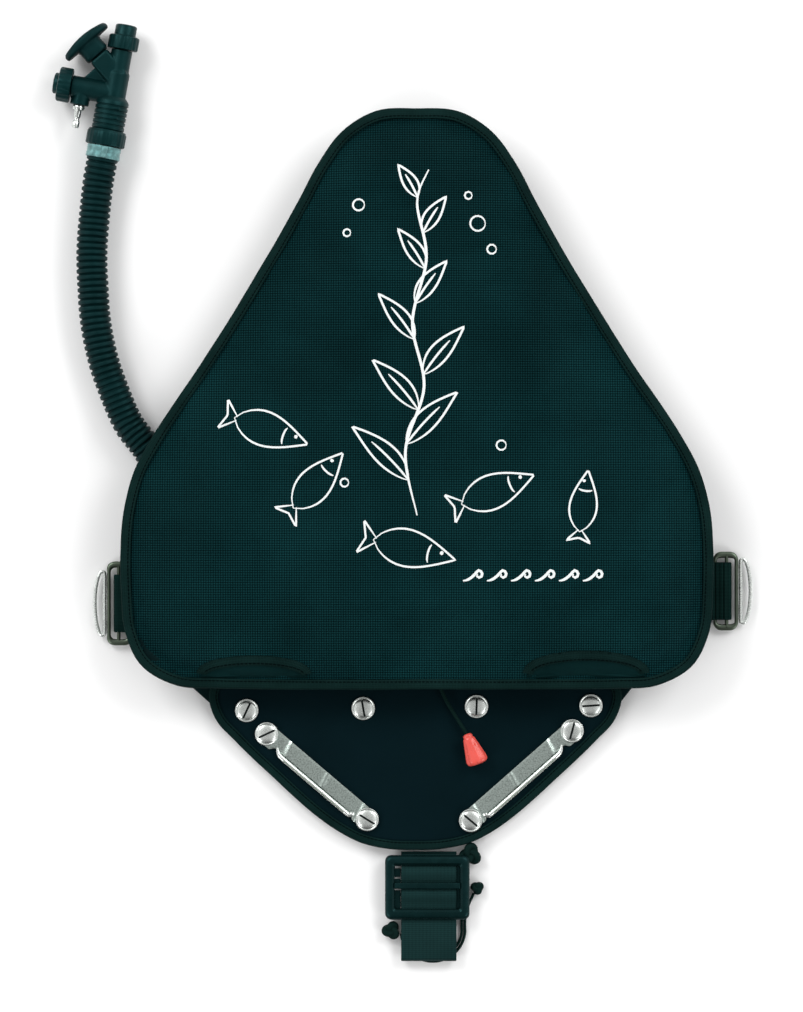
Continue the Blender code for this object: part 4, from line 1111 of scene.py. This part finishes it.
def rounded_union(name, pieces, voxel, passes):
    """Solids melted into one moulding with small fillets where they meet."""
    solid = joined(name, pieces)
    remesh = solid.modifiers.new("one skin", "REMESH")
    remesh.mode = "VOXEL"
    remesh.voxel_size = voxel
    remesh.use_smooth_shade = True
    soften = solid.modifiers.new("fillets", "SMOOTH")
    soften.iterations = passes
    soften.factor = 0.5
    bake(solid)
    solid.data.shade_smooth()
    return solid


def make_inflator():
    """The inflator's pieces, which are on the hose's end."""
    grip = [(0, 0.0022), (0.0100, 0.0022), (0.0100, 0.0163), (0.0134, 0.0163), (0.0141, 0.0172)]
    for k in range(5):
        at = 0.0205 + 0.0042 * k
        grip += [(0.0141, at - 0.0008), (0.0131, at - 0.0003), (0.0131, at + 0.0003), (0.0141, at + 0.0008)]
    grip += [(0.0141, 0.0408), (0.0132, 0.0424), (0.0104, 0.0452)]
    tube = lathe("tube", [(0, 0.0400), (0.0103, 0.0400), (0.0103, 0.0658), (0.0091, 0.0676), (0.0091, 0.0862),
                           (0, 0.0862)], HOSE_TOP, INFLATOR_AXIS)
    seat = at_inflator(BRANCH_AT)
    branch = lathe("branch", [(0, 0), (0.0095, 0), (0.0095, 0.0372), (0, 0.0372)], seat, BRANCH_AXIS)
    boss_top = seat + BRANCH_AXIS * 0.028
    boss = lathe("boss", [(0, 0), (0.0082, 0), (0.0080, 0.0150), (0, 0.0150)], boss_top, -INFLATOR_AXIS)
    mouth = at_inflator(MOUTH_AT)
    turn = math.atan2(MOUTH_AXIS.y, MOUTH_AXIS.x)
    neck = block("neck", (MOUTH_NECK + 0.004, 0.0186, 0.0172),
                 mouth + MOUTH_AXIS * (MOUTH_NECK - 0.004) / 2, turn, 0.003)
    web = block("web", (0.020, 0.0165, 0.0050), at_inflator(0.0575, 0.0150), turn, 0.0008)
    body = rounded_union("inflator_moulding", [tube, branch, boss, neck, web], 0.00055, 3)
    made = [dress(body, "inflator_body")]
    sleeve = lathe("grip_sleeve", grip, HOSE_TOP, INFLATOR_AXIS, 56)
    made.append(dress(sleeve, "inflator_body", stands_for=False))
    for k, out in enumerate((-0.0040, -0.0048)):
        mark = block(f"grip_bar_{k + 1}", (0.0065, 0.0022, 0.0020),
                     at_inflator(0.0268 + 0.0084 * k, out) + UP * 0.0132, INFLATOR_TURN, 0.0006)
        made.append(dress(mark, "inflator_body", stands_for=False))
    made.append(make_mouthpiece())
    made += make_caps()
    made += make_couplings()
    made += [NODES["inflate_spring"], NODES["deflate_spring"]]
    return made


# Each ring of the mouthpiece: distance out, half width, half height, squareness, bow
MOUTH_ROWS = [
    (0.0000, 0.0098, 0.0092, 4.0, 0), (0.0008, 0.0108, 0.0103, 4.0, 0), (0.0022, 0.0112, 0.0108, 3.6, 0),
    (0.0060, 0.0112, 0.0108, 3.4, 0), (0.0100, 0.0112, 0.0107, 3.0, 0), (0.0122, 0.0122, 0.0112, 2.6, 0),
    (0.0126, 0.0170, 0.0126, 2.3, 0.4), (0.0130, 0.0206, 0.0142, 2.1, 0.8),
    (0.0138, 0.0222, 0.0150, 2.0, 1), (0.0156, 0.0230, 0.0153, 2.0, 1), (0.0176, 0.0230, 0.0151, 2.0, 1),
    (0.0192, 0.0218, 0.0142, 2.0, 1), (0.0198, 0.0150, 0.0105, 2.0, 1), (0.0188, 0.0085, 0.0062, 2.2, 1),
    (0.0160, 0.0072, 0.0050, 2.4, 1), (0.0090, 0.0066, 0.0046, 2.4, 1),
]


def make_mouthpiece():
    """Rubber mouthpiece: a soft square sleeve and a curved oval lip shield."""
    foot = at_inflator(MOUTH_AT) + MOUTH_AXIS * (MOUTH_NECK + 0.0002)
    inplane = MOUTH_AXIS.cross(UP)
    points, sides = [], 64
    for out, wide, high, power, bow in MOUTH_ROWS:
        for k in range(sides):
            a = math.tau * k / sides
            c, s = math.cos(a), math.sin(a)
            x = wide * math.copysign(abs(c) ** (2 / power), c)
            z = high * math.copysign(abs(s) ** (2 / power), s)
            back = bow * 0.0026 * (x / 0.023) ** 2
            points.append(foot + MOUTH_AXIS * (out - back + 0.0012 * bow) + inplane * x + UP * z)
    mouthpiece = add_mesh("mouthpiece_rubber", points, ring_faces(len(MOUTH_ROWS), sides), angle=60)
    return dress(mouthpiece, "mouthpiece")


def cup_profile(reach, outer, hole):
    """Half section of a button's cup: outside, lip, and the bore down to its floor."""
    wall, floor, lip, edge = outer - 0.0028, 0.0018, 0.0020, 0.0010
    return [(0, 0), (outer - edge, 0), (outer - edge * 0.3, edge * 0.3), (outer, edge),
            (outer, reach - edge * 1.8), (outer - edge * 0.5, reach - edge * 0.6),
            (outer - edge * 1.8, reach), (hole, reach), (hole, reach - lip),
            (wall, reach - lip), (wall, floor), (0, floor)]


def button_profile(low, top, radius, flange):
    """Half section of a button: its flange, its side and a shallow ring in its face."""
    return [(0, low), (flange, low), (flange, low + 0.0020), (radius, low + 0.0020), (radius, top - 0.0018),
            (radius - 0.0006, top - 0.0009), (radius - 0.0016, top - 0.0004),
            (radius * 0.66, top - 0.0002), (radius * 0.62, top - 0.0007), (radius * 0.55, top - 0.0007),
            (radius * 0.50, top - 0.0002), (0, top)]


def make_caps():
    side_seat = at_inflator(BRANCH_AT) + BRANCH_AXIS * 0.0377
    top_seat = at_inflator(0.0868)
    made = []
    for node, seat, axis, reach, outer, hole in (
            ("inflate_button_cap", side_seat, BRANCH_AXIS, 0.0115, 0.0150, 0.0094),
            ("deflate_button_cap", top_seat, INFLATOR_AXIS, 0.0120, 0.0132, 0.0096)):
        cap = lathe(node.replace("_cap", "_cup"), cup_profile(reach, outer, hole), seat, axis, 96,
                    flutes=16, depth=0.0006, flute_from=0.999)
        made.append(dress(cap, node))
    for node, seat, axis, low, top, radius, flange in (
            ("power_inflate_button", side_seat, BRANCH_AXIS, 0.0068, 0.0158, 0.0091, 0.0112),
            ("deflate_button", top_seat, INFLATOR_AXIS, 0.0075, 0.0218, 0.0093, 0.0100)):
        button = lathe(f"{node}_top", button_profile(low, top, radius, flange), seat, axis, 64)
        made.append(dress(button, node))
    return made


def make_couplings():
    """Nipple, collar and clamp band."""
    nipple_top = at_inflator(BRANCH_AT - 0.0153, 0.028)
    nipple = lathe("air_nipple", [
        (0, 0), (0.0048, 0), (0.0052, -0.0005), (0.0052, -0.0034), (0.0047, -0.0040), (0.0036, -0.0046),
        (0.0030, -0.0054), (0.0030, -0.0100), (0.0027, -0.0106), (0.0023, -0.0114), (0.0023, -0.0128),
        (0.0027, -0.0136), (0.0032, -0.0142), (0.0032, -0.0186), (0.0030, -0.0193), (0.0026, -0.0197),
        (0.0018, -0.0198), (0.0017, -0.0170), (0, -0.0170)], nipple_top, INFLATOR_AXIS, 40)
    dress(nipple, "quick_connect_nipple")
    collar = hoop("collar", [
        (0.0103, 0.0068), (0.0150, 0.0068), (0.0158, 0.0064), (0.0162, 0.0054), (0.0168, 0.0046),
        (0.0170, 0.0038), (0.0170, -0.0058), (0.0166, -0.0066), (0.0158, -0.0068), (0.0103, -0.0068)],
        at_inflator(0.0092), INFLATOR_AXIS, 96, flutes=24, depth=0.0004)
    dress(collar, "hose_collar")
    band = hoop("clamp_strap", [
        (0.0139, 0.0052), (0.0146, 0.0052), (0.0148, 0.0048), (0.0148, 0.0018), (0.0145, 0.0014),
        (0.0145, -0.0014), (0.0148, -0.0018), (0.0148, -0.0048), (0.0146, -0.0052), (0.0139, -0.0052)],
        at_inflator(-0.0035), INFLATOR_AXIS, 64)
    dress(band, "hose_clamp_band")
    lug = block("clamp_lug", (0.0050, 0.0098, 0.0022), at_inflator(-0.0035, -0.0015) + UP * 0.0150,
                INFLATOR_TURN, 0.0006)
    dress(lug, "hose_clamp_band", stands_for=False)
    return [nipple, collar, band, lug]


# Harness under the wing

STRAP_THICKNESS = 0.0022
STRAP_WIDTH = 0.0500
BAR_HEIGHT = 0.0053
SLIDER_WIRE = 0.0016
SLIDER_HALF_LENGTH = 0.0325
SLIDER_CORNER = 0.0055
RING_WIRE = 0.0017
MIDDLE_BAR_IN = 0.0085
INNER_BAR_IN = 0.0185
WRAP_RADIUS = 0.00325
RIDGES_FROM = 0.2440
RIDGES = {"left": (0.0110, 0.0003), "right": (0.0034, 0.0010)}


def side_facts(side):
    """(sign, y of the middle, x of the outer bar's middle) of one side's slider."""
    low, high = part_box(f"side_slider_{side}")
    sign = -1 if side == "left" else 1
    outer = max(abs(low.x), abs(high.x)) - SLIDER_WIRE
    return sign, (low.y + high.y) / 2, outer


def make_side(side):
    sign, y, outer = side_facts(side)
    middle = outer - MIDDLE_BAR_IN
    low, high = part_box(f"waist_strap_{side}")
    inner_end = min(abs(low.x), abs(high.x))
    upper, lower = BAR_HEIGHT + WRAP_RADIUS, BAR_HEIGHT - WRAP_RADIUS
    line = [(inner_end, upper), (0.150, upper), (0.235, upper)]
    pitch, height = RIDGES[side]
    count = int((middle - RIDGES_FROM) / 0.0004)
    line += [(x, upper + height * abs(math.sin(math.pi * (middle - x) / pitch)))
             for x in (RIDGES_FROM + (middle - RIDGES_FROM) * k / count for k in range(count + 1))]
    line += arc(middle, BAR_HEIGHT, WRAP_RADIUS, 90, -90, 14)[1:]
    line += [(0.215, lower), (0.175 if side == "left" else 0.150, lower)]
    path = [Vector((sign * x, y, z)) for x, z in line]
    strap = sweep(f"waist_webbing_{side}", path, band_section(STRAP_WIDTH, STRAP_THICKNESS),
                  across=Vector((0, 1, 0)))
    dress(strap, f"waist_strap_{side}")
    make_slider(side, sign, y, outer)
    make_ring(side)


def make_slider(side, sign, y, outer):
    """Wire slider: a round-cornered frame that is flattened at its ends, and a middle bar."""
    half, corner, radius = SLIDER_HALF_LENGTH, SLIDER_CORNER, SLIDER_WIRE
    inner = outer - INNER_BAR_IN
    corners = []
    for cx, cy, first in ((outer - corner, half - corner, 0), (inner + corner, half - corner, 90),
                          (inner + corner, corner - half, 180), (outer - corner, corner - half, 270)):
        corners += arc(cx, cy, corner, first, first + 90, 6)
    path = [Vector((sign * x, y + dy, BAR_HEIGHT)) for x, dy in corners]

    def section(_, i):
        wide = 1 + 0.7 * max(0.0, min(1.0, (abs(path[i].y - y) - half + 0.005) / 0.004))
        return [(s * wide - radius * (wide - 1), h) for s, h in ring_section(radius, 14)]

    loop = sweep(f"slider_{side}", path, section, closed=True)
    ends = [Vector((sign * (outer - MIDDLE_BAR_IN), y + k * (half - 0.0006), BAR_HEIGHT)) for k in (-1, 1)]
    bar = sweep("bar", evenly(ends, 12), ring_section(radius, 14))
    slider = joined(f"slider_frame_{side}", [loop, bar])
    slider.data.shade_smooth()
    dress(slider, f"side_slider_{side}")


def make_ring(side):
    """D-ring: a straight leg and a bow, of bright wire."""
    low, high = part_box(f"side_dring_{side}")
    sign = -1 if side == "left" else 1
    leg = min(abs(low.x), abs(high.x)) + RING_WIRE
    reach = max(abs(low.x), abs(high.x)) - RING_WIRE - leg
    y, half = (low.y + high.y) / 2, (high.y - low.y) / 2 - RING_WIRE
    line = [(leg, -half + 0.0035), (leg, 0), (leg, half - 0.0035), (leg + 0.0010, half - 0.0010)]
    line += [(leg + 0.0016 + (reach - 0.0016) * math.sin(a), half * math.cos(a))
             for a in (math.pi * k / 22 for k in range(1, 22))]
    line += [(leg + 0.0010, -half + 0.0010)]
    path = spline([(sign * x, y + dy, BAR_HEIGHT) for x, dy in line], 120, closed=True)
    ring = sweep(f"ring_{side}", path, ring_section(RING_WIRE, 16), closed=True)
    dress(ring, f"side_dring_{side}")


BAND_WAVE = 0.0004
BAND_END = 0.0006
BAND_STEP = 0.004


def band_from_box(name, node):
    """Webbing that fills a straight CAD band, with a little waviness."""
    low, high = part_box(node)
    first, last = low.y + BAND_END, high.y - BAND_END
    steps = int((high.y - low.y) / BAND_STEP)
    path = [Vector(((low.x + high.x) / 2, first + (last - first) * k / steps,
                    (low.z + high.z) / 2 - BAND_WAVE * abs(math.sin(k * 0.35)))) for k in range(steps + 1)]
    dress(sweep(name, path, band_section(high.x - low.x, high.z - low.z)), node)


SHOULDER_ROUTE = [
    (0.030, 0.1410), (0.068, 0.1390), (0.098, 0.117), (0.106, 0.075), (0.105, -0.020), (0.105, -0.112),
]


def make_back():
    """Back pad with its piping, and the webbing round it. The plate on it stays as the CAD has it."""
    low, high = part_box("back_pad")
    middle, size = (low + high) / 2, high - low
    pad = block("pad", size - Vector((0.002, 0.002, 0.0004)), middle + UP * 0.0002, bevel=0.0065, segments=4)
    fine = pad.modifiers.new("fine", "SUBSURF")
    fine.subdivision_type = "SIMPLE"
    fine.levels = fine.render_levels = 4
    bake(pad)
    for vertex in pad.data.vertices:
        p = vertex.co
        side = min(1.0, max(0.0, abs(p.z - middle.z) / (size.z / 2)))
        if p.z > middle.z:
            p.z -= 0.0012 * side
        if abs(p.x - middle.x) > size.x * 0.42:
            p.x -= math.copysign(0.0008 * math.sin(p.y * 210) ** 2, p.x - middle.x)
    dress(pad, "back_pad")
    edge_line = [Vector((x, y, middle.z))
                 for x, y in rounded_box(middle, size.x / 2 - 0.001, size.y / 2 - 0.001, 0.010)]
    piping = sweep("pad_piping", edge_line, ring_section(0.0016, 10), closed=True)
    dress(piping, "back_pad", look="binding_tape", stands_for=False)
    band_from_box("spine_band", "spine_webbing")
    band_from_box("neck_band", "lumbar_neck_strap")
    for side, sign in (("left", -1), ("right", 1)):
        low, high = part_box(f"shoulder_strap_{side}")
        path = [Vector((sign * p.x, p.y, (low.z + high.z) / 2)) for p in spline(SHOULDER_ROUTE, 70)]
        strap = sweep(f"shoulder_webbing_{side}", path, band_section(0.0498, STRAP_THICKNESS))
        dress(strap, f"shoulder_strap_{side}")


def rounded_box(middle, half_x, half_y, corner, steps=8):
    """Plan points of a rectangle with round corners, anticlockwise."""
    found = []
    for sx, sy, first in ((1, 1, 0), (-1, 1, 90), (-1, -1, 180), (1, -1, 270)):
        found += arc(middle.x + sx * (half_x - corner), middle.y + sy * (half_y - corner), corner,
                     first, first + 90, steps)
    return found


# Lumbar plate

def slab_mesh(name, outline, low, high, spacing=0.006, rounding=0.0008, wave=0.0002):
    """A thin sheet that fills an outline, with a rounded edge and a face that isn't quite flat."""
    points, faces, distance = plan_mesh(outline, spacing)
    size = len(points)
    rim_drop = rounding * np.maximum(0, 1 - distance / 0.004)
    dents = np.array([noise.noise(Vector((x * 22, y * 22, 4.4))) for x, y in points]) * wave
    top = high - rim_drop + np.minimum(dents - wave * 0.3, 0)
    both = np.concatenate([np.column_stack([points, top]), np.column_stack([points, low + rim_drop * 0.5])])
    around = len(outline)
    all_faces = faces + [tuple(i + size for i in reversed(f)) for f in faces]
    all_faces += [(i, (i + 1) % around, (i + 1) % around + size, i + size) for i in range(around)]
    return add_mesh(name, both, all_faces, angle=50)


SLOT_ANGLES = {
    "plate_screw_1": 65, "plate_screw_2": 100, "plate_screw_3": 88, "plate_screw_4": 4,
    "rail_screw_left_upper": 25, "rail_screw_left_lower": -32, "rail_screw_right_upper": 75,
    "rail_screw_right_lower": -40,
}


HEAD_THICKNESS = 0.0027
# (share of the radius, drop below the top) down the head to its side
HEAD_DOME = [
    (0, 0), (0.22, 0.00006), (0.42, 0.00028), (0.60, 0.00062), (0.76, 0.00112), (0.80, 0.00135),
    (0.82, 0.00165), (0.85, 0.00168), (0.88, 0.00140), (0.93, 0.00128), (0.975, 0.00145), (1, 0.0019),
]


def screw_head(name, node):
    """Domed book screw with a rim line, a slot and its post, and a dark strip in the slot's bottom that is
    painted shade.
    """
    low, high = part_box(node)
    middle = (low + high) / 2
    radius = (high.x - low.x) / 2
    foot = high.z - HEAD_THICKNESS
    top = high.z
    dome = [(radius * share, top - drop) for share, drop in HEAD_DOME]
    dome += [(radius, foot + 0.0001), (radius * 0.98, foot), (0.0025, foot), (0.0025, low.z + 0.0017),
             (0.0073, low.z + 0.0017), (0.0075, low.z + 0.0014), (0.0075, low.z + 0.0003),
             (0.0070, low.z), (0, low.z)]
    screw = lathe(name, dome, Vector((middle.x, middle.y, 0)), UP, 72, angle=50)
    angle = math.radians(SLOT_ANGLES[node])
    slot = block("slot", (radius * 1.52, 0.0018, 0.0044), Vector((middle.x, middle.y, top + 0.0004)), angle)
    cut(screw, slot)
    screw.data.shade_smooth()
    screw.data.set_sharp_from_angle(angle=math.radians(40))
    dress(screw, node)
    # A dark block in the bottom of the slot: painted shade for the slot's inside.
    painted_slot_shade = block(f"{name}_grime", (radius * 1.46, 0.0017, 0.0005),
                  Vector((middle.x, middle.y, top - 0.0014)), angle)
    dress(painted_slot_shade, node, look="painted_slot_shade", stands_for=False)


# Where the rail's strap is creased, as shares of the run between its bolts
RAIL_CREASES = (0.19, 0.55, 0.89)
CREASE_SLANT = -0.22
CREASE_RISE = 0.0011
RAIL_THICKNESS = 0.0015
RAIL_HALF_WIDTH = 0.0088
RAIL_OUTER = 0.0047


def make_rail(side):
    """Flat steel strap that bends at three creases, and the bright rod welded along its edge."""
    upper = sum(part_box(f"rail_screw_{side}_upper"), Vector()) / 2
    lower = sum(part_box(f"rail_screw_{side}_lower"), Vector()) / 2
    sign = -1 if side == "left" else 1
    start, end = Vector(upper.xy), Vector(lower.xy)
    along = (end - start).normalized()
    out = Vector((along.y, -along.x)) * -sign
    length = (end - start).length
    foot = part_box(f"rail_{side}")[0].z

    def plan(distance, across):
        return start + along * distance + out * across

    make_rail_strap(side, plan, length, foot)
    make_rail_rod(side, plan, length, foot + 0.0026)


def rail_row(s, length):
    """(inner edge, outer edge) of the strap at a distance along it: round ends and a narrow waist."""
    end_round = max(0.0, -s, s - length)
    reach = math.sqrt(max(RAIL_HALF_WIDTH ** 2 - end_round ** 2, 0))
    narrow = min(1.0, max(0.0, (min(s, length - s) - 0.0095) / 0.0045))
    narrow = narrow * narrow * (3 - 2 * narrow)
    return -reach, min(reach, RAIL_HALF_WIDTH + (RAIL_OUTER - RAIL_HALF_WIDTH) * narrow)


def make_rail_strap(side, plan, length, foot):
    steps, across_steps = 150, 10
    points, faces = [], []
    for k in range(steps + 1):
        s = -RAIL_HALF_WIDTH + (length + 2 * RAIL_HALF_WIDTH) * k / steps
        inner, outside = rail_row(s, length)
        for level in (RAIL_THICKNESS, 0):
            for m in range(across_steps + 1):
                t = m / across_steps
                a = inner + (outside - inner) * t
                soft = 0.00035 * (abs(2 * t - 1) ** 6) if level else 0
                tilt = CREASE_RISE * crease_height((s + CREASE_SLANT * (a + RAIL_HALF_WIDTH)) / length)
                points.append((*plan(s, a), foot + level + tilt - soft))
    wide = 2 * (across_steps + 1)
    loop = list(range(across_steps + 1)) + list(range(wide - 1, across_steps, -1))
    for k in range(steps):
        for i, j in zip(loop, loop[1:] + loop[:1]):
            faces.append((k * wide + i, k * wide + j, (k + 1) * wide + j, (k + 1) * wide + i))
    faces += [tuple(loop), tuple(steps * wide + i for i in loop)]
    dress(add_mesh(f"rail_strap_{side}", points, faces, angle=28), f"rail_{side}", look="rail")


def make_rail_rod(side, plan, length, height):
    """The rod beside the strap, and the dark line along its weld."""
    line = [(0.0150, 0.0028), (0.0168, 0.0050), (0.0200, 0.0068), (0.0260, 0.0074), (length * 0.5, 0.0075),
            (length - 0.0185, 0.0074), (length - 0.0146, 0.0068), (length - 0.0130, 0.0050),
            (length - 0.0136, 0.0034)]
    path = spline([plan(d, a).to_3d() + UP * height for d, a in line], 90)

    def section(at, _):
        taper = min(1.0, 0.45 + at / 0.014)
        return [(s * taper, h * taper) for s, h in ring_section(0.0022, 18)]

    dress(sweep(f"rail_rod_{side}", path, section), f"rail_{side}", stands_for=False)
    groove = [plan(d, a).to_3d() + UP * (height + 0.0018) for d, a in
              ((0.026, 0.0082), (length * 0.5, 0.0083), (length - 0.020, 0.0082))]
    seam = sweep(f"rail_seam_{side}", spline(groove, 40), ring_section(0.00045, 8))
    dress(seam, f"rail_{side}", look="black_steel", stands_for=False)


def crease_height(share):
    """The strap stands proud between its first and last crease, with a fold in the middle."""
    first, middle, last = RAIL_CREASES
    rise = (min(1.0, max(0.0, (share - first + 0.03) / 0.05))
            * min(1.0, max(0.0, (last + 0.03 - share) / 0.05)))
    fold = math.exp(-((share - middle) / 0.018) ** 2)
    edges = math.exp(-((share - first) / 0.016) ** 2) + math.exp(-((share - last) / 0.016) ** 2)
    return rise * (1 - 0.2 * fold) + 0.9 * fold + 0.6 * edges


LUMBAR_TAPE_WALL = 0.0010


def make_lumbar():
    outline = rim("lumbar_plate", 220)
    low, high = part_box("lumbar_plate")
    plate = slab_mesh("lumbar_sheet", outline, low.z, high.z)
    dress(plate, "lumbar_plate")
    binding_low, binding_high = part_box("lumbar_binding")
    middle = (binding_low.z + binding_high.z) / 2
    bound_edge("lumbar_tape", inwards(outline, -TAPE_PROUD), middle,
               binding_high.z - middle - LUMBAR_TAPE_WALL, LUMBAR_TAPE_WALL, 0.0078, "lumbar_binding", 0.0002)
    row = inwards(outline, 0.0048)
    stitches("lumbar_stitches", row + row[:1], lambda p: binding_high.z, "lumbar_binding")
    back_outline = inwards(rim("lumbar_backing", 160, soft=False), 0.0045)
    low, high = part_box("lumbar_backing")
    backing = slab_mesh("lumbar_lining", back_outline, low.z, high.z, 0.009, 0.0004, 0.0001)
    dress(backing, "lumbar_backing")
    for number in range(1, 5):
        screw_head(f"book_screw_{number}", f"plate_screw_{number}")
    for side in ("left", "right"):
        make_rail(side)
        for place in ("upper", "lower"):
            screw_head(f"rail_bolt_{side}_{place}", f"rail_screw_{side}_{place}")


# Crotch strap

def make_crotch():
    low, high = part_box("crotch_strap")
    x, width, thick = (low.x + high.x) / 2, high.x - low.x, 0.0020
    lower, upper = low.z + thick / 2, high.z - thick / 2
    top, bottom = high.y, low.y + thick / 2
    radius = (upper - lower) / 2
    buckle_low, buckle_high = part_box("crotch_buckle")
    centre_y = (buckle_low.y + buckle_high.y) / 2
    line = [(top - 0.0003, lower), (-0.420, lower), (-0.455, lower), (bottom + radius, lower)]
    line += arc(bottom + radius, (lower + upper) / 2, radius, 270, 90, 12)[1:]
    line += [(-0.470, upper), (-0.456, upper)]
    humps = 48
    first, last = -0.4515, top - 0.0025
    for k in range(humps + 1):
        y = first + (last - first) * k / humps
        wave = 0.0024 * buckle_wave(y - centre_y)
        line.append((y, upper + wave - 0.0004))
    path = [Vector((x, y, z)) for y, z in line]
    strap = sweep("crotch_webbing", path, band_section(width, thick - 0.0002), across=Vector((1, 0, 0)))
    dress(strap, "crotch_strap", look="tail")
    make_crotch_buckle()


def buckle_wave(y):
    """The webbing rises into each of the buckle's windows and dips under its bars."""
    return sum(math.exp(-((y - middle) / 0.0055) ** 2) for middle in (0.0125, -0.0070)) - 0.35


# Dark strips of the buckle's plastic beside the webbing, painted shade for the shadowed gap there: their
# solid runs, from the buckle's middle, with a gap between each two
SHADE_FILL_RUNS = [(0.0205, 0.0181), (0.0165, 0.0089), (0.0073, -0.0009), (-0.0025, -0.0200)]


def make_crotch_buckle():
    """Black slide buckle: a bevelled frame with a middle bar, and dark strips of its plastic in the gaps
    beside the webbing, at its left and right, which are painted shade.
    """
    low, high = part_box("crotch_buckle")
    middle, size = (low + high) / 2, high - low
    rows = [(0.0000, 0.0012, 0.0050), (0.0000, size.z - 0.0026, 0.0058), (0.0012, size.z - 0.0008, 0.0052),
            (0.0026, size.z, 0.0044), (0.0060, size.z, 0.0030), (0.0078, size.z - 0.0016, 0.0020),
            (0.0084, size.z - 0.0038, 0.0016), (0.0084, 0.0012, 0.0016), (0.0040, 0.0, 0.0030)]
    points = []
    for inset, height, corner in rows:
        outline = rounded_box(middle, size.x / 2 - inset, size.y / 2 - inset * 1.12, corner, 6)
        points += [(px, py, low.z + height) for px, py in outline]
    faces = ring_faces(len(rows), len(points) // len(rows), closed=True)
    pieces = [add_mesh("ring", points, faces, angle=30)]
    inner_x = size.x / 2 - 0.0080
    for y, deep, rise in ((0.0015, 0.0052, 0.0065), (0.0205, 0.0030, 0.0037)):
        pieces.append(block("bar", (2 * inner_x, deep, 0.0022),
                            Vector((middle.x, middle.y + y, low.z + rise)), bevel=0.0007))
    # Strips that fill the gaps beside the webbing with dark plastic: painted shade, broken at the left so
    # that the floor shows in spots.
    left, right = middle.x - inner_x + 0.0022, middle.x + inner_x - 0.0013
    shade_fills = [(left, 0.0066, first, last) for first, last in SHADE_FILL_RUNS] + [(right, 0.0044, 0.0200, -0.0200)]
    for x, wide, first, last in shade_fills:
        pieces.append(block("ledge", (wide, first - last, 0.0020),
                            Vector((x, middle.y + (first + last) / 2, low.z + 0.0012)), bevel=0.0004))
    buckle = joined("buckle", pieces)
    buckle.data.shade_smooth()
    buckle.data.set_sharp_from_angle(angle=math.radians(30))
    dress(buckle, "crotch_buckle", look="buckle")


# What stays as the CAD model has it, in a better material

def dress_nodes():
    for name, node in NODES.items():
        if not node.hide_render:
            node.data.materials.clear()
            node.data.materials.append(LOOKS[SLOT_OF[name]])


def make_bound_wing():
    cover, outline, seam = make_wing()
    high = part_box("edge_binding")[1]
    bound_edge("wing_tape", inwards(outline, -TAPE_PROUD), seam, high.z - seam - WING_TAPE_WALL,
               WING_TAPE_WALL, BINDING_WIDTH, "edge_binding")
    row = inwards(outline, BINDING_WIDTH - 0.0035)
    stitches("wing_stitches", row + row[:1], lambda p: high.z - 0.0001, "edge_binding")
    height = surface_of(cover)
    make_arches(height)
    make_print(height)


make_camera()
make_stage()
LOOKS = make_looks()
make_cords()
make_bound_wing()
for side in ("left", "right"):
    make_side(side)
make_back()
make_lumbar()
make_crotch()
dress_nodes()
